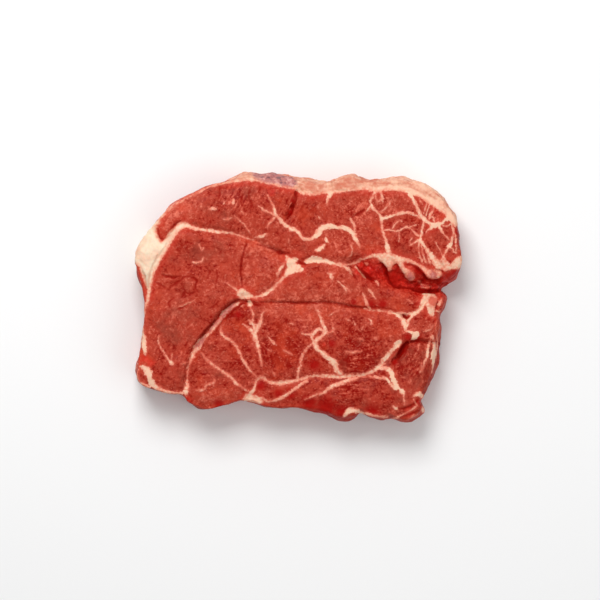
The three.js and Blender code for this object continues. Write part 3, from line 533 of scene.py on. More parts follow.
def lobe(place, length, width, turn, rise, x, y):
    """Height of an oval swelling"""
    angle = math.radians(turn)
    along = (x - place[0]) * math.cos(angle) + (y - place[1]) * math.sin(angle)
    across = (y - place[1]) * math.cos(angle) - (x - place[0]) * math.sin(angle)
    return rise * bell(np.hypot(along / length, across / width), 1)


def rough(x, y, z, wavelength):
    """Smooth unevenness from -1 to 1 with bumps of about this size"""
    scaled = np.stack([x, y, z], axis=1) / wavelength
    return np.array([noise.fractal(Vector(p), *UNEVEN) for p in scaled])


def crevice(x, y, z, size):
    """Rounded cells of about this size: 0 in the crevices between them, 1 towards their middles"""
    cells = [noise.voronoi(Vector(p) / size)[0] for p in np.stack([x, y, z], axis=1)]
    return np.array([far[1] - far[0] for far in cells])


class Outline:
    """The slab's silhouette and the outlines of its levels, all star-shaped about the origin"""

    def __init__(self):
        self.points = smooth(SILHOUETTE, closed=True, step=0.25)
        length = np.linspace(0, 1, len(self.points))
        at = np.arange(AROUND) / AROUND
        self.points = np.stack([np.interp(at, length, column) for column in self.points.T], axis=1)
        self.radius = np.linalg.norm(self.points, axis=1)
        ring = np.arange(-EVEN_OUT, EVEN_OUT + 1)
        self.even = self.radius[(np.arange(AROUND)[:, None] + ring) % AROUND].mean(axis=1)
        self.even = np.minimum(self.radius, self.even)
        self.lean = LEAN + sum(
            lean * bell(np.hypot(*(self.points - place).T), reach) for place, reach, lean in FLANKS
        )
        self.cut_edge = self.level(np.arange(AROUND), EVEN_AT_EDGE, self.lean)

    def level(self, i, evenness, inset):
        """Points of an outline drawn in towards the origin"""
        radius = self.radius[i] + evenness * (self.even[i] - self.radius[i]) - inset
        return self.points[i] * (radius / self.radius[i])[:, None]

    def edge_at(self, turn):
        """The point of the cut edge at a share of the way around"""
        closed = np.vstack([self.cut_edge, self.cut_edge[:1]])
        at = np.linspace(0, 1, AROUND + 1)
        return np.stack([np.interp(turn, at, column) for column in closed.T], axis=1)


def face_height(x, y, cut_edge):
    """Height of the upper cut face above the resting face"""
    edge, _ = nearest(np.vstack([cut_edge, cut_edge[:1]])[::2], x, y)
    height = THICKNESS - SWELL - EDGE_FALL * bell(edge, EDGE_REACH)
    level = np.full(x.shape, float(THICKNESS))
    x, y = (axis + WARP[0] * rough(x, y, level + shift, WARP[1]) for axis, shift in ((x, 0), (y, APART)))
    for wavelength, heading, amount in WAVES:
        angle = math.radians(heading)
        along = x * math.cos(angle) + y * math.sin(angle)
        height = height + amount * np.sin(2 * np.pi * along / wavelength)
    nearest_seam = np.full(x.shape, np.inf)
    deepest = np.zeros(x.shape)
    for seam in SEAMS:
        far, depth = trough(*seam, x, y)
        nearest_seam = np.minimum(nearest_seam, far)
        deepest = np.maximum(deepest, depth)
    height += SWELL * (1 - np.exp(-nearest_seam / SWELL_REACH)) - deepest
    far, depth = trough(*HOLLOW, x, y)
    lobes = np.max([lobe(*shape, x, y) for shape in LOBES], axis=0)
    return height - depth + bell(far, LOBES_REACH) * lobes


def only(piece):
    """Makes a piece the selected and active one"""
    bpy.ops.object.select_all(action="DESELECT")
    piece.select_set(True)
    bpy.context.view_layer.objects.active = piece


def disc(cuts):
    """A flat hexagonal disc of small triangles"""
    bpy.ops.object.select_all(action="DESELECT")
    bpy.ops.mesh.primitive_circle_add(vertices=6, radius=1, fill_type="TRIFAN")
    bpy.ops.object.mode_set(mode="EDIT")
    bpy.ops.mesh.select_all(action="SELECT")
    for count in cuts:
        bpy.ops.mesh.subdivide(number_cuts=count - 1)
    bpy.ops.object.mode_set(mode="OBJECT")
    return bpy.context.object


def pick_open_edges():
    """Selects the edges of the active mesh that have a face on one side only"""
    bpy.ops.object.mode_set(mode="EDIT")
    bpy.ops.mesh.select_mode(type="EDGE")
    bpy.ops.mesh.select_all(action="DESELECT")
    bpy.ops.mesh.select_non_manifold()


def pick_upright_edges(mesh):
    """Selects the edges that run down the wall"""
    bpy.ops.mesh.select_all(action="DESELECT")
    bpy.ops.object.mode_set(mode="OBJECT")
    for edge in mesh.edges:
        top, bottom = (mesh.vertices[i].co.z for i in edge.vertices)
        edge.select = abs(top - bottom) > 0.5
    bpy.ops.object.mode_set(mode="EDIT")


def hex_place(x, y):
    """Ring (0 to 1) and turn (0 to 1) of points of a hexagonal disc that has a corner at +Y"""
    corner = math.pi / 6
    sixth = np.floor(np.mod(np.arctan2(y, x) - corner, 2 * np.pi) / (np.pi / 3) + TINY / 100)
    angle = corner + sixth * np.pi / 3
    ax, ay = np.cos(angle), np.sin(angle)
    bx, by = np.cos(angle + np.pi / 3), np.sin(angle + np.pi / 3)
    det = ax * by - ay * bx
    a = (x * by - y * bx) / det
    b = (ax * y - ay * x) / det
    ring = np.maximum(a + b, NOTHING)
    return ring, np.mod((sixth + b / ring) / 6, 1)


def slab_mesh():
    """The cut face, a wall drawn down from its rim, and a coarser face to rest on"""
    slab = disc(CUTS)
    slab.name = "chuck_roast"
    pick_open_edges()
    bpy.ops.mesh.extrude_region_move(TRANSFORM_OT_translate={"value": (0, 0, -1)})
    pick_upright_edges(slab.data)
    bpy.ops.mesh.subdivide(number_cuts=WALL_ROWS - 1)
    bpy.ops.object.mode_set(mode="OBJECT")
    base = disc(BASE_CUTS)
    base.data.transform(base.matrix_world)
    for vertex in base.data.vertices:
        vertex.co = (vertex.co.x * BASE_RIM, vertex.co.y * BASE_RIM, -1)
    base.data.flip_normals()
    only(slab)
    base.select_set(True)
    bpy.ops.object.join()
    pick_open_edges()
    bpy.ops.mesh.bridge_edge_loops()
    bpy.ops.mesh.quads_convert_to_tris()
    bpy.ops.mesh.select_all(action="SELECT")
    bpy.ops.mesh.normals_make_consistent(inside=False)
    bpy.ops.object.mode_set(mode="OBJECT")
    return slab


# How the muscles differ: x, y, reach, shade (-1 dark to 1 bright), warmth (-1 dull to 1 orange). Some
# places are painted brighter as painted light: the rounded shoulder at the upper left, and the edges of the
# cracks
MUSCLES = [
    # the first place, the rounded shoulder at the upper left, is painted brighter: painted light
    (-92, 68, 16, 0.9, 0.5), (-112, -12, 10, 0.1, 0.7), (-118, -46, 7, 0.9, 1.6),
    (-98, -20, 13, 0.25, -0.7), (-85, -35, 20, -0.2, -0.2), (-103, -57, 14, -0.4, -0.2),
    (-78, 30, 16, -0.25, -0.3), (-30, 26, 18, 0.3, 0.2), (-60, 68, 20, -0.4, -0.4), (2, 66, 18, -0.45, 0.1),
    (44, 72, 13, 0.55, 0), (-20, 50, 7, 0.3, -0.2), (30, 40, 14, 0.2, 0.2), (55, 50, 10, 0.1, 0.4),
    (78, 50, 12, -0.5, -0.1), (74, 72, 8, 0.4, 0), (103, 45, 10, -0.5, 0), (20, 8, 22, 0.1, 0.2),
    (72, 0, 14, -0.4, 0.3), (-64, -60, 14, -0.2, 0), (-62, -74, 8, 0.5, 0.6), (-48, -18, 10, -0.9, 0.7),
    (-45, -35, 12, -0.6, 0.1), (-12, -34, 15, -1.7, 0.4), (-4, -12, 18, 0.5, 0.3), (16, -48, 10, -0.4, 0.4),
    (58, -16, 12, 0.1, 0.5), (45, -48, 14, -1.2, -0.2), (46, -30, 14, -0.8, 0), (48, -72, 20, -0.65, -0.3),
    (86, -52, 14, -0.6, -0.6), (-10, -72, 10, -0.5, 0.4),
    # painted light along the edges of the cracks between the muscles, lifting the shade of their grooves
    (28, -2.6, 5, 1.5, 0.6), (14, -2, 5, 1.5, 0.6), (0, -1, 5, 1.2, 0.5), (42, -4, 5, 1.4, 0.6),
    (-22, 38, 4, 1.4, 0.4), (-32, 42.6, 4, 1.6, 0.4), (-42, 47, 3, 1.4, 0.4),
]
# Which way the muscle fibres show: x, y, reach, angle in degrees, strength
FIBRES = [
    (-45, 76, 18, 65, 1), (-5, 67, 14, 60, 0.8), (45, 68, 12, 75, 0.5), (-72, -57, 16, 2, 0.55),
    (-60, -40, 10, -10, 0.4), (-12, -35, 14, -35, 0.9), (48, -48, 14, 0, 1), (40, -70, 18, -8, 0.8),
    (90, -50, 12, 75, 1), (105, -20, 10, 80, 0.8), (-112, -48, 12, 80, 0.6), (102, 62, 10, 60, 1),
    (76, 45, 10, 70, 0.4), (-85, 12, 14, 20, 0.6), (-20, 20, 14, 110, 0.4), (0, -12, 14, 170, 0.3),
    (20, 10, 14, 160, 0.4), (60, 22, 12, 130, 0.8), (-72, 36, 16, 8, 0.5), (-98, -22, 14, 70, 0.5),
    (-55, 8, 14, 95, 0.4), (30, 42, 10, 120, 0.4), (-85, -45, 12, 60, 0.5), (75, 4, 12, 10, 0.4),
    (-95, 66, 12, 40, 0.5), (-40, -62, 10, -30, 0.6),
]
GRAIN_ANGLES = (0, 60, 120)  # the fibres are drawn along these directions
GRAIN_FOCUS = 8  # how closely a direction must fit the fibres to be drawn
# How the fat differs: x, y, reach, creaminess (-1 pink to 1 white)
FAT_TONES = [
    (-10, 54, 12, -0.1), (26, 53, 12, 0.6), (-4, 25, 8, 0.4), (16, 29, 10, 0.6), (-70, 53, 14, 0.3),
    (80, 56, 16, 0.8), (66, 30, 8, 0.1), (98, 20, 8, -0.4), (115, 45, 12, 0.6), (102, 56, 7, 0.8),
    (-40, 3, 7, 0.2), (-32, -28, 12, -0.4), (84.6, 17, 4.5, -0.9), (102, 19, 6, -1.1), (69, 23, 3, -0.8),
    (76, 30, 6, -0.4), (101.8, -2.4, 2.2, -4), (-84, 76, 16, -0.7), (-58, -52, 16, -0.8),
    (-5, -62, 20, -0.5), (45, -61, 14, -0.4), (20, -38, 13, -0.3), (73, -38, 8, 0.2), (88, -28, 4.5, 2.2),
    (86, -14, 7, 0.4), (103, -43, 6, 1.4), (75, -62, 8, 0.8), (38, -86, 8, 0.6), (-114, -58, 8, 0.5),
    (-82, -40, 8, -0.6),
]
WHITE = [(-112, 38, 22), (-94, 54, 10), (-112, 18, 12)]  # where the fat is whitest: x, y, reach
BACKGROUND = 0.35  # weight of the plain flesh or fat between such places
NEAR = 1.3  # a stroke's own band reaches this far past its edge
CLEAR = 5  # strokes on one layer keep this far apart
STROKE_REACH = 6  # a layer knows its nearest stroke up to this far from the stroke's edge
FAR_OFF = 9.0  # distance that is stored where no stroke is near
THIN, THICK = 0.1, 1.5  # half widths of the thinnest, pinkest strokes and of the whitest ones
PATCH_REACH = 14  # distances are worked out up to this far around a patch
PATCH_FAR_OFF = -20.0  # and this is stored further out
SHEAR = (5.5, -4.5)  # how far the sheets of fat lean over, from the cut face to the resting face
UPRIGHT = 0.12  # share of the depth down to which they go straight down
TORN_REACH = (8.5, 8)  # how far torn flesh reaches from the hollow's line, to its left and right
TORN_START = (40, 48)  # between these x the torn flesh sets in
TORN_LEAST = 0.04  # lumps are worked out where the flesh is more torn than this
RELIEF_TOP = 2.5  # the relief fades out towards the resting face below this height
FAT_RISE = 0.28  # how far fat stands out of the flesh
LIP_RISE = 0.9  # how much further it does so in the torn hollow
TORN_BUMPS = (0.4, 3.4)  # bumps in the torn hollow: height, size
FLESH_BUMPS = (0.45, 9)
FINE_BUMPS = (0.2, 2.8)
FAT_BUMPS = (0.85, 7.5)


def stroke_band(stroke, x, y):
    """Signed distance from a stroke's middle line, and half its width there, negative past its ends"""
    line = smooth(stroke, step=0.7)
    best = np.full(x.shape, np.inf)
    signed = np.full(x.shape, np.inf)
    half = np.full(x.shape, -np.inf)
    last = len(line) - 2
    for k in range(len(line) - 1):
        a, b = line[k], line[k + 1]
        length = math.hypot(*(b - a)[:2])
        ux, uy = (b - a)[:2] / length
        along = (x - a[0]) * ux + (y - a[1]) * uy
        across = (y - a[1]) * ux - (x - a[0]) * uy
        past = np.maximum(-along if k == 0 else 0, along - length if k == last else 0)
        held = np.clip(along, 0, length)
        far = np.hypot(across, along - held)
        closer = far < best
        here = (a[2] + (b[2] - a[2]) * held / length) / 2 - np.maximum(past, 0)
        sign = np.where(across < 0, -1, 1)
        end = past > 0
        best[closer] = far[closer]
        signed[closer] = np.where(end, across, sign * far)[closer]
        half[closer] = here[closer]
    return signed, half


def apart(a, b):
    return np.linalg.norm(a[:, None, :2] - b[None, :, :2], axis=2).min()


def share_out(strokes):
    """Puts each stroke on a layer where every other stroke is clear of it"""
    layers = []
    for stroke in strokes:
        line = smooth(stroke, step=1.5)
        for layer in layers:
            if all(apart(line, other) > CLEAR + (line[:, 2].max() + other[:, 2].max()) / 2
                   for _, other in layer):
                layer.append((stroke, line))
                break
        else:
            layers.append([(stroke, line)])
    return [[stroke for stroke, _ in layer] for layer in layers]


def layer_field(strokes, x, y):
    """Signed distance, half width and colour share of the nearest stroke of one layer"""
    field = np.tile((FAR_OFF, -FAR_OFF, 0.0), (len(x), 1))
    gap = np.full(x.shape, np.inf)
    for stroke in strokes:
        p = np.array(stroke)
        reach = STROKE_REACH + p[:, 2].max()
        near = ((x > p[:, 0].min() - reach) & (x < p[:, 0].max() + reach)
                & (y > p[:, 1].min() - reach) & (y < p[:, 1].max() + reach))
        at = np.nonzero(near)[0]
        signed, half = stroke_band(stroke, x[at], y[at])
        edge = np.abs(signed) - half
        closer = (edge < gap[at]) & (edge < STROKE_REACH)
        at, signed, half, edge = at[closer], signed[closer], half[closer], edge[closer]
        gap[at] = edge
        pale = np.clip((half - THIN) / (THICK - THIN), 0, 1)
        field[at] = np.stack([signed, half - 3 * np.maximum(edge - NEAR, 0), pale], axis=1)
    return field


def inside(patch, x, y):
    """Distance inside a patch's outline, negative outside it"""
    line = smooth(patch, closed=True, step=1.2)
    value = np.full(x.shape, PATCH_FAR_OFF)
    low, high = line.min(axis=0) - PATCH_REACH, line.max(axis=0) + PATCH_REACH
    at = np.nonzero((x > low[0]) & (x < high[0]) & (y > low[1]) & (y < high[1]))[0]
    px, py = x[at], y[at]
    within = np.zeros(px.shape, bool)
    for a, b in zip(line[:-1], line[1:]):
        crosses = (a[1] > py) != (b[1] > py)
        rise = b[1] - a[1] if b[1] != a[1] else NOTHING
        within ^= crosses & (px < a[0] + (py - a[1]) / rise * (b[0] - a[0]))
    far, _ = nearest(line, px, py)
    value[at] = np.where(within, far, -far)
    return value


def nearness(places, x, y):
    """How near each place of a list is, from 0 to 1 over its reach: one row for each place"""
    return np.array([bell(np.hypot(x - cx, y - cy), reach) for cx, cy, reach, *_ in places])


def blend(places, x, y):
    """Each value that a list gives for its places, blended by how near the places are"""
    weight = nearness(places, x, y)
    total = weight.sum(axis=0) + BACKGROUND
    return [(weight * column[:, None]).sum(axis=0) / total for column in np.array(places)[:, 3:].T]


def set_field(mesh, name, values):
    """Stores three numbers for each vertex under a name"""
    attribute = mesh.attributes.new(name, "FLOAT_VECTOR", "POINT")
    attribute.data.foreach_set("vector", np.ascontiguousarray(values, dtype=np.float32).ravel())


def side_share(profile, level):
    """Share of an inset at a level, straight between the points of a profile"""
    shares, levels = np.array(profile, float).T
    return np.interp(level, levels, shares)


def wall(outline, i, height):
    """Points of the side wall at outline point i and at this share of the height"""
    level = height ** (1 + SAG * np.sin(2 * np.pi * SAG_TURNS * i / AROUND))
    leaning = level > WIDEST
    inset = np.where(
        leaning,
        outline.lean[i] * side_share(SIDE_PROFILE, level),
        FOOT_TUCK * side_share(FOOT_PROFILE, level),
    )
    away = np.where(leaning, (level - WIDEST) / (1 - WIDEST), 1 - level / WIDEST)
    evenness = np.where(leaning, EVEN_AT_EDGE, 1) * (away * away * (3 - 2 * away))
    lump = sum(
        depth * (1 - np.cos(2 * np.pi * (count * i / AROUND + slant * level))) / 2
        for count, slant, depth in SIDE_LUMPS
    ) * np.sin(np.pi * np.clip(level, 0, 1))
    return outline.level(i, evenness, inset + lump)


def place_vertices(mesh, outline):
    """Place of every vertex of the slab, in millimetres, and how far each lies down the slab"""
    flat = np.zeros(len(mesh.vertices) * 3)
    mesh.vertices.foreach_get("co", flat)
    x, y, z = flat.reshape(-1, 3).T
    ring, turn = hex_place(x, y)
    i = np.mod(np.round(turn * AROUND).astype(int), AROUND)
    place = np.zeros((len(x), 3))
    face = z > -TINY
    rim = face & (ring > 1 - TINY)
    side = ~face & (ring > 1 - TINY) & (z > -1 + TINY)
    base = z < -1 + TINY

    place[face, :2] = outline.edge_at(turn[face]) * ring[face, None]
    place[face, 2] = face_height(*place[face, :2].T, outline.cut_edge)
    rim_height = np.zeros(AROUND)
    rim_height[i[rim]] = place[rim, 2]

    drop = -z[side]
    height = (1 - drop) * (1 - ROWS_TO_RIMS) + ROWS_TO_RIMS * (1 + np.cos(np.pi * drop)) / 2
    place[side, :2] = wall(outline, i[side], height)
    place[side, 2] = height * rim_height[i[side]]

    foot = wall(outline, np.arange(AROUND), np.zeros(AROUND))
    foot = np.vstack([foot, foot[:1]])
    at = np.linspace(0, 1, AROUND + 1)
    for axis in range(2):
        place[base, axis] = np.interp(turn[base], at, foot[:, axis]) * ring[base]

    depth = np.where(face, 0, np.where(base, 1, -z))
    return place, depth


def fibre_grain(x, y):
    """How strongly the fibres show along each of the grain's directions"""
    grain = np.zeros((len(x), len(GRAIN_ANGLES)))
    for near, (_, _, _, angle, strength) in zip(nearness(FIBRES, x, y), FIBRES):
        for column, direction in enumerate(GRAIN_ANGLES):
            grain[:, column] += strength * near * np.cos(math.radians(angle - direction)) ** GRAIN_FOCUS
    return grain


def cap_band(x, y, patch):
    """How pale the cap is: paler to the right and near its inner edge, pinker in its streaks"""
    band = ease_in(x, 28, 58) * (0.05 + 0.45 * (1 - ease_in(patch, 2.5, 5)))
    band += 0.42 * ease_in(x, 66, 88) - 0.15 * ease_in(-x, 20, 45)
    streaks = [bell(nearest(smooth(route), x, y)[0], width) for route, width in CAP_STREAKS]
    return band - 0.4 * np.max(streaks, axis=0)


def coarseness(x, y):
    """Where the flesh is coarse: most in the front muscle's middle, less so right of the knot"""
    front = ease_in(x, -60, -30) * ease_in(-y, 0, 22) * ease_in(y, -72, -54)
    return np.maximum(front, 0.6 * ease_in(x, 0, 40) * ease_in(y, -30, 0))


def main_fields(place, depth):
    """The fields that the flesh and fat are painted and modelled by"""
    lean = np.maximum(depth - UPRIGHT, 0) / (1 - UPRIGHT)
    x = place[:, 0] + SHEAR[0] * lean
    y = place[:, 1] + SHEAR[1] * lean
    fat_strokes = LEFT_FAT + UPPER_FAT + WEB_FAT + MIDDLE_FAT + FRONT_FAT + FLANK_FAT
    fat, crease = (
        [layer_field(layer, x, y) for layer in share_out(strokes)] for strokes in (fat_strokes, CREASES)
    )
    patch, membrane = (
        np.max([inside(outline, x, y) for outline in outlines], axis=0) for outlines in (PATCHES, MEMBRANES)
    )
    shade, warmth = blend(MUSCLES, x, y)
    cream, = blend(FAT_TONES, x, y)
    white, blood_and_shade, fresh = (nearness(places, x, y).max(axis=0) for places in (WHITE, BLOOD_AND_SHADE_PLACES, FRESH))
    tone = ease_in(white, 0, 0.6) - ease_in(inside(CAP, x, y), 0.5, 3)
    far, side = nearest(smooth(HOLLOW[0]), x, y)
    start, full = TORN_START
    torn = bell(far, np.where(side > 0, *TORN_REACH)) * np.clip((x - start) / (full - start), 0, 1)
    lump = np.ones(len(x))
    at = np.nonzero(torn > TORN_LEAST)[0]
    lump[at] = crevice(x[at] + 0.5 * y[at], y[at], 0.5 * place[at, 2], LUMPS[0])
    return {"fat": fat, "crease": crease, "patch": patch, "membrane": membrane, "shade": shade,
            "warmth": warmth, "torn": torn, "blood_and_shade": blood_and_shade - fresh, "lump": lump,
            "grain": fibre_grain(x, y), "tone": tone, "cream": cream, "band": cap_band(x, y, patch),
            "coarse": coarseness(x, y), "depth": depth}


def crease_depth(layer):
    """How deep the creases of one layer cut in"""
    across, half, _ = layer.T
    deepest = np.clip(half, 0, CREASE_MOST) * 2 * CREASE_DEPTH
    return deepest * bell(across, np.maximum(half, CREASE_LEAST) * 1.1)


def add_relief(mesh, place, fields):
    """Fine relief along the surface's normals: creases, raised fat, lumps and grain"""
    mesh.vertices.foreach_set("co", place.ravel())
    mesh.update()
    normals = np.zeros(len(place) * 3)
    mesh.vertices.foreach_get("normal", normals)
    x, y, z = place.T
    patch, torn = fields["patch"], fields["torn"]
    fat_edge = np.max([layer[:, 1] - np.abs(layer[:, 0]) for layer in fields["fat"]], axis=0)
    fat = ease_in(np.maximum(fat_edge, patch), -0.8, 0.6)
    cover = ease_in(patch, 0, 4)
    lump = np.clip(fields["lump"] / LUMPS[2], 0, 1)
    lumps = LUMPS[1] * (np.sqrt(lump * (2 - lump)) - 1) * (1 - 0.5 * fat)
    relief = FAT_RISE * fat - np.max([crease_depth(layer) for layer in fields["crease"]], axis=0)
    relief += ease_in(torn, 0.1, 0.7) * (lumps + LIP_RISE * ease_in(patch, -0.6, 1.6))
    torn_bumps, flesh_bumps, fine_bumps, fat_bumps = (
        (height, rough(x, y, z, size)) for height, size in (TORN_BUMPS, FLESH_BUMPS, FINE_BUMPS, FAT_BUMPS)
    )
    relief += torn_bumps[0] * ease_in(torn, 0.2, 0.8) * torn_bumps[1]
    relief += flesh_bumps[0] * flesh_bumps[1] * (1 - 0.3 * fat)
    relief += (fine_bumps[0] + fine_bumps[0] * cover) * fine_bumps[1] + fat_bumps[0] * cover * fat_bumps[1]
    relief *= ease_in(z, 0, RELIEF_TOP)
    place = place + normals.reshape(-1, 3) * relief[:, None]
    place[:, 2] = np.maximum(place[:, 2], 0)
    return place


def hue(red, green, blue):
    """A colour given as it looks on a screen, 0 to 255"""
    linear = [c / 255 / 12.92 if c <= 10 else ((c / 255 + 0.055) / 1.055) ** 2.4
              for c in (red, green, blue)]
    return (*linear, 1)


class Wire:
    """A value in a material's nodes, so that shader maths is written as plain sums"""

    def __init__(self, tree, socket=None):
        self.tree = tree
        self.socket = socket

    def node(self, kind, settings=None, values=None, out=0):
        """Adds any node: its settings first, then the values or links of its sockets"""
        made = self.tree.nodes.new(kind)
        for name, value in (settings or {}).items():
            setattr(made, name, value)
        for key, value in (values or {}).items():
            if isinstance(value, Wire):
                self.tree.links.new(value.socket, made.inputs[key])
            else:
                made.inputs[key].default_value = value
        return Wire(self.tree, made.outputs[out])

    def maths(self, operation, *values):
        return self.node("ShaderNodeMath", {"operation": operation}, dict(enumerate(values)))

    def __add__(self, other):
        return self.maths("ADD", self, other)

    def __sub__(self, other):
        return self.maths("SUBTRACT", self, other)

    def __mul__(self, other):
        return self.maths("MULTIPLY", self, other)

    def __rsub__(self, other):
        return self.maths("SUBTRACT", other, self)

    def __neg__(self):
        return self.maths("MULTIPLY", self, -1)

    __radd__ = __add__
    __rmul__ = __mul__

    def size(self):
        return self.maths("ABSOLUTE", self)

    def most(self, other):
        return self.maths("MAXIMUM", self, other)

    def ease(self, low, high):
        """0 below low, 1 above high, and smooth between them"""
        return self.node("ShaderNodeMapRange", {"interpolation_type": "SMOOTHSTEP"},
                         {0: self, 1: low, 2: high, 3: 0, 4: 1})

    def mix(self, first, second):
        """The first colour where this value is 0, the second where it is 1"""
        return self.node("ShaderNodeMix", {"data_type": "RGBA"}, {0: self, 6: first, 7: second}, out=2)

    def turned(self, angle, along):
        """Place measured along and across a direction at this angle, squeezed along it"""
        return self.node("ShaderNodeMapping", {"vector_type": "TEXTURE"},
                         {"Vector": self, "Rotation": (0, 0, math.radians(angle)), "Scale": (along, 1, 1)})

    def stretch(self, x, y, z):
        return self.node("ShaderNodeVectorMath", {"operation": "MULTIPLY"}, {0: self, 1: (x, y, z)})

    def noise(self, size, detail=2, roughness=0.5, shift=0.0, swirl=0.0):
        """Soft noise from 0 to 1 with spots of about this size in millimetres"""
        moved = self.node("ShaderNodeVectorMath", {"operation": "ADD"}, {0: self, 1: (shift,) * 3})
        return self.node("ShaderNodeTexNoise", {}, {
            "Vector": moved, "Scale": 1000 / size, "Detail": detail, "Roughness": roughness,
            "Distortion": swirl})

    def sway(self, *about, **more):
        """The same noise, from -0.5 to 0.5"""
        return self.noise(*about, **more) - 0.5

    def cells(self, size):
        """Distance from the middles of cells of about this size in millimetres"""
        return self.node("ShaderNodeTexVoronoi", {}, {"Vector": self, "Scale": 1000 / size})

    def parts(self):
        made = self.node("ShaderNodeSeparateXYZ", {}, {0: self})
        outputs = made.socket.node.outputs
        return [Wire(self.tree, outputs[axis]) for axis in range(3)]

    def bump(self, depth, strength):
        """The surface's normal, bent by this height, which is so deep in millimetres"""
        return self.node("ShaderNodeBump", {},
                         {"Height": self, "Distance": depth * MM, "Strength": strength})


FLESH = hue(174, 60, 43)
FLESH_DARK = hue(138, 9, 1)
# pale flesh, which also stands for the small glints of the moist surface: painted highlights
PALE_FLESH_AND_GLINT = hue(222, 114, 92)
FLESH_WARM = hue(200, 68, 42)
FLESH_DULL = hue(140, 62, 47)
FLESH_RED = hue(202, 46, 31)
TORN = hue(208, 34, 25)
# deepest red, also laid on as painted shade in pockets, crevices and slits
BLOOD_AND_SHADE = hue(158, 6, 4)
# painted shade: colours laid into creases, folds and crevices, the deepest in the middles of wide creases
CREASE_SHADE = hue(142, 5, 0)
DEEP_CREASE_SHADE = hue(116, 4, 0)
FOLD_SHADE = hue(176, 112, 84)
FAT_WHITE = hue(234, 211, 184)
FAT_CREAM = hue(232, 188, 160)
FAT_PEACH = hue(224, 142, 118)
FAT_PINK = hue(206, 100, 80)
RIND = hue(200, 116, 92)
RIND_PALE = hue(236, 186, 158)
SKIN_PALE = hue(210, 152, 146)
SKIN = hue(176, 108, 106)
SKIN_DARK = hue(112, 72, 82)
SIDE_WALL_SHADE = 0.14  # painted shade: how much darker the side walls are painted than the fresh cut
SHEEN = {  # how the moist surface takes the light
    "IOR": 1.25, "Specular IOR Level": 0.12, "Coat Roughness": 0.18,
    "Subsurface Weight": 0.12, "Subsurface Radius": (1.0, 0.35, 0.2), "Subsurface Scale": 1.6 * MM,
}
FIELDS = {  # what the material reads besides the strokes and the grain
    "cover": ("patch", "membrane", "tone"),
    "flesh": ("shade", "warmth", "depth"),
    "wounds": ("torn", "blood_and_shade", "lump"),
    "tints": ("cream", "band", "coarse"),
}


def edges(field, names, width, rag, wobble):
    """How far inside the nearest stroke of some layers a place lies, and that stroke's own share"""
    wander, ragged, swell = wobble
    wander = 2.2 * wander
    ragged = rag * ragged
    wide = width + 1.6 * swell
    found = []
    for name in names:
        signed, half, own = field(name)
        edge = half * wide + ragged - (signed + wander).size()
        found.append((edge, own * edge.ease(-0.5, 0.3)))
    return [reduce(Wire.most, column) for column in zip(*found)]


def flesh_paint(spot, field, patch, fat_edge):
    """Colour of the flesh, and its relief"""
    shade, warmth, depth = field("flesh")
    torn, blood_and_shade, _ = field("wounds")
    _, _, coarse = field("tints")
    warmth = warmth + 3 * spot.sway(15, 3, 0.55, shift=35.9)
    broad = spot.sway(22, 3, shift=1.3)
    mottle = spot.sway(6, 3, 0.6, shift=5.2, swirl=1)
    grain = spot.sway(2.1, 2, 0.6, shift=9.4, swirl=0.8)
    bundle = 0.42 - spot.cells(2.8)
    strand = sum(
        weight * spot.turned(angle, 3.8).sway(1.8, 2, 0.55, shift=angle / 9 + 2)
        for weight, angle in zip(field("grain"), GRAIN_ANGLES)
    )
    curl = 1 - spot.sway(8, 2, 0.6, shift=41.7, swirl=1.2).size().ease(0.004, 0.04)
    curl = curl * spot.noise(9, 2, shift=43.1).ease(0.42, 0.6)
    fine = 1.1 * mottle + grain + 0.2 * bundle + 2.4 * strand - 0.27 * curl
    light = 0.52 + 0.36 * shade + 0.35 * broad + fine * (1 + 0.3 * coarse)
    # painted shade: the side walls are painted darker below the cut edge
    light = light - SIDE_WALL_SHADE * depth.ease(0.02, 0.3)
    colour = light.ease(0.05, 0.5).mix(FLESH_DARK, FLESH)
    # the palest of the grain, partly painted highlights of the moist surface
    colour = light.ease(0.5, 1.05).mix(colour, PALE_FLESH_AND_GLINT)
    colour = (0.6 * warmth.ease(0, 1)).mix(colour, FLESH_WARM)
    colour = (0.6 * (-warmth).ease(0, 1)).mix(colour, FLESH_DULL)
    colour = (0.34 * patch.ease(-6, -0.5)).mix(colour, FLESH_RED)
    # marbling too fine for strokes of its own: curling threads, and pale flecks that also serve as painted
    # glints of the moist surface
    thread = 1 - spot.sway(7, 2, shift=21.3, swirl=1.4).size().ease(0.004, 0.026)
    thread = thread * spot.noise(6, 2, shift=23.7).ease(0.46, 0.62)
    fleck_and_glint = (0.27 - spot.stretch(1, 1.5, 1).cells(3.1)).ease(0, 0.14)
    fleck_and_glint = fleck_and_glint * spot.noise(16, 2, shift=4.4).ease(0.36, 0.56)
    colour = (0.42 * thread + 0.66 * fleck_and_glint).mix(colour, FAT_PINK)
    # torn places, the deepest red places with their painted shade, and freshly cut places
    torn_colour = (0.62 + 2.6 * mottle + 2.4 * grain).ease(0, 1).mix(BLOOD_AND_SHADE, TORN)
    colour = (0.85 * torn).mix(colour, torn_colour)
    # painted highlights on the torn lobes
    colour = (0.55 * torn * (mottle + 1.5 * grain).ease(0.1, 0.5)).mix(colour, PALE_FLESH_AND_GLINT)
    colour = (0.55 * (1.4 * mottle - blood_and_shade).ease(0.2, 1.1)).mix(colour, TORN)
    colour = (0.9 * (blood_and_shade + mottle).ease(0, 1)).mix(colour, BLOOD_AND_SHADE)
    colour = (0.35 * fat_edge.ease(-1.8, 0.2)).mix(colour, FAT_PINK)
    return colour, 0.5 * grain + 0.6 * strand + 0.25 * bundle + 0.3 * thread - 0.3 * curl


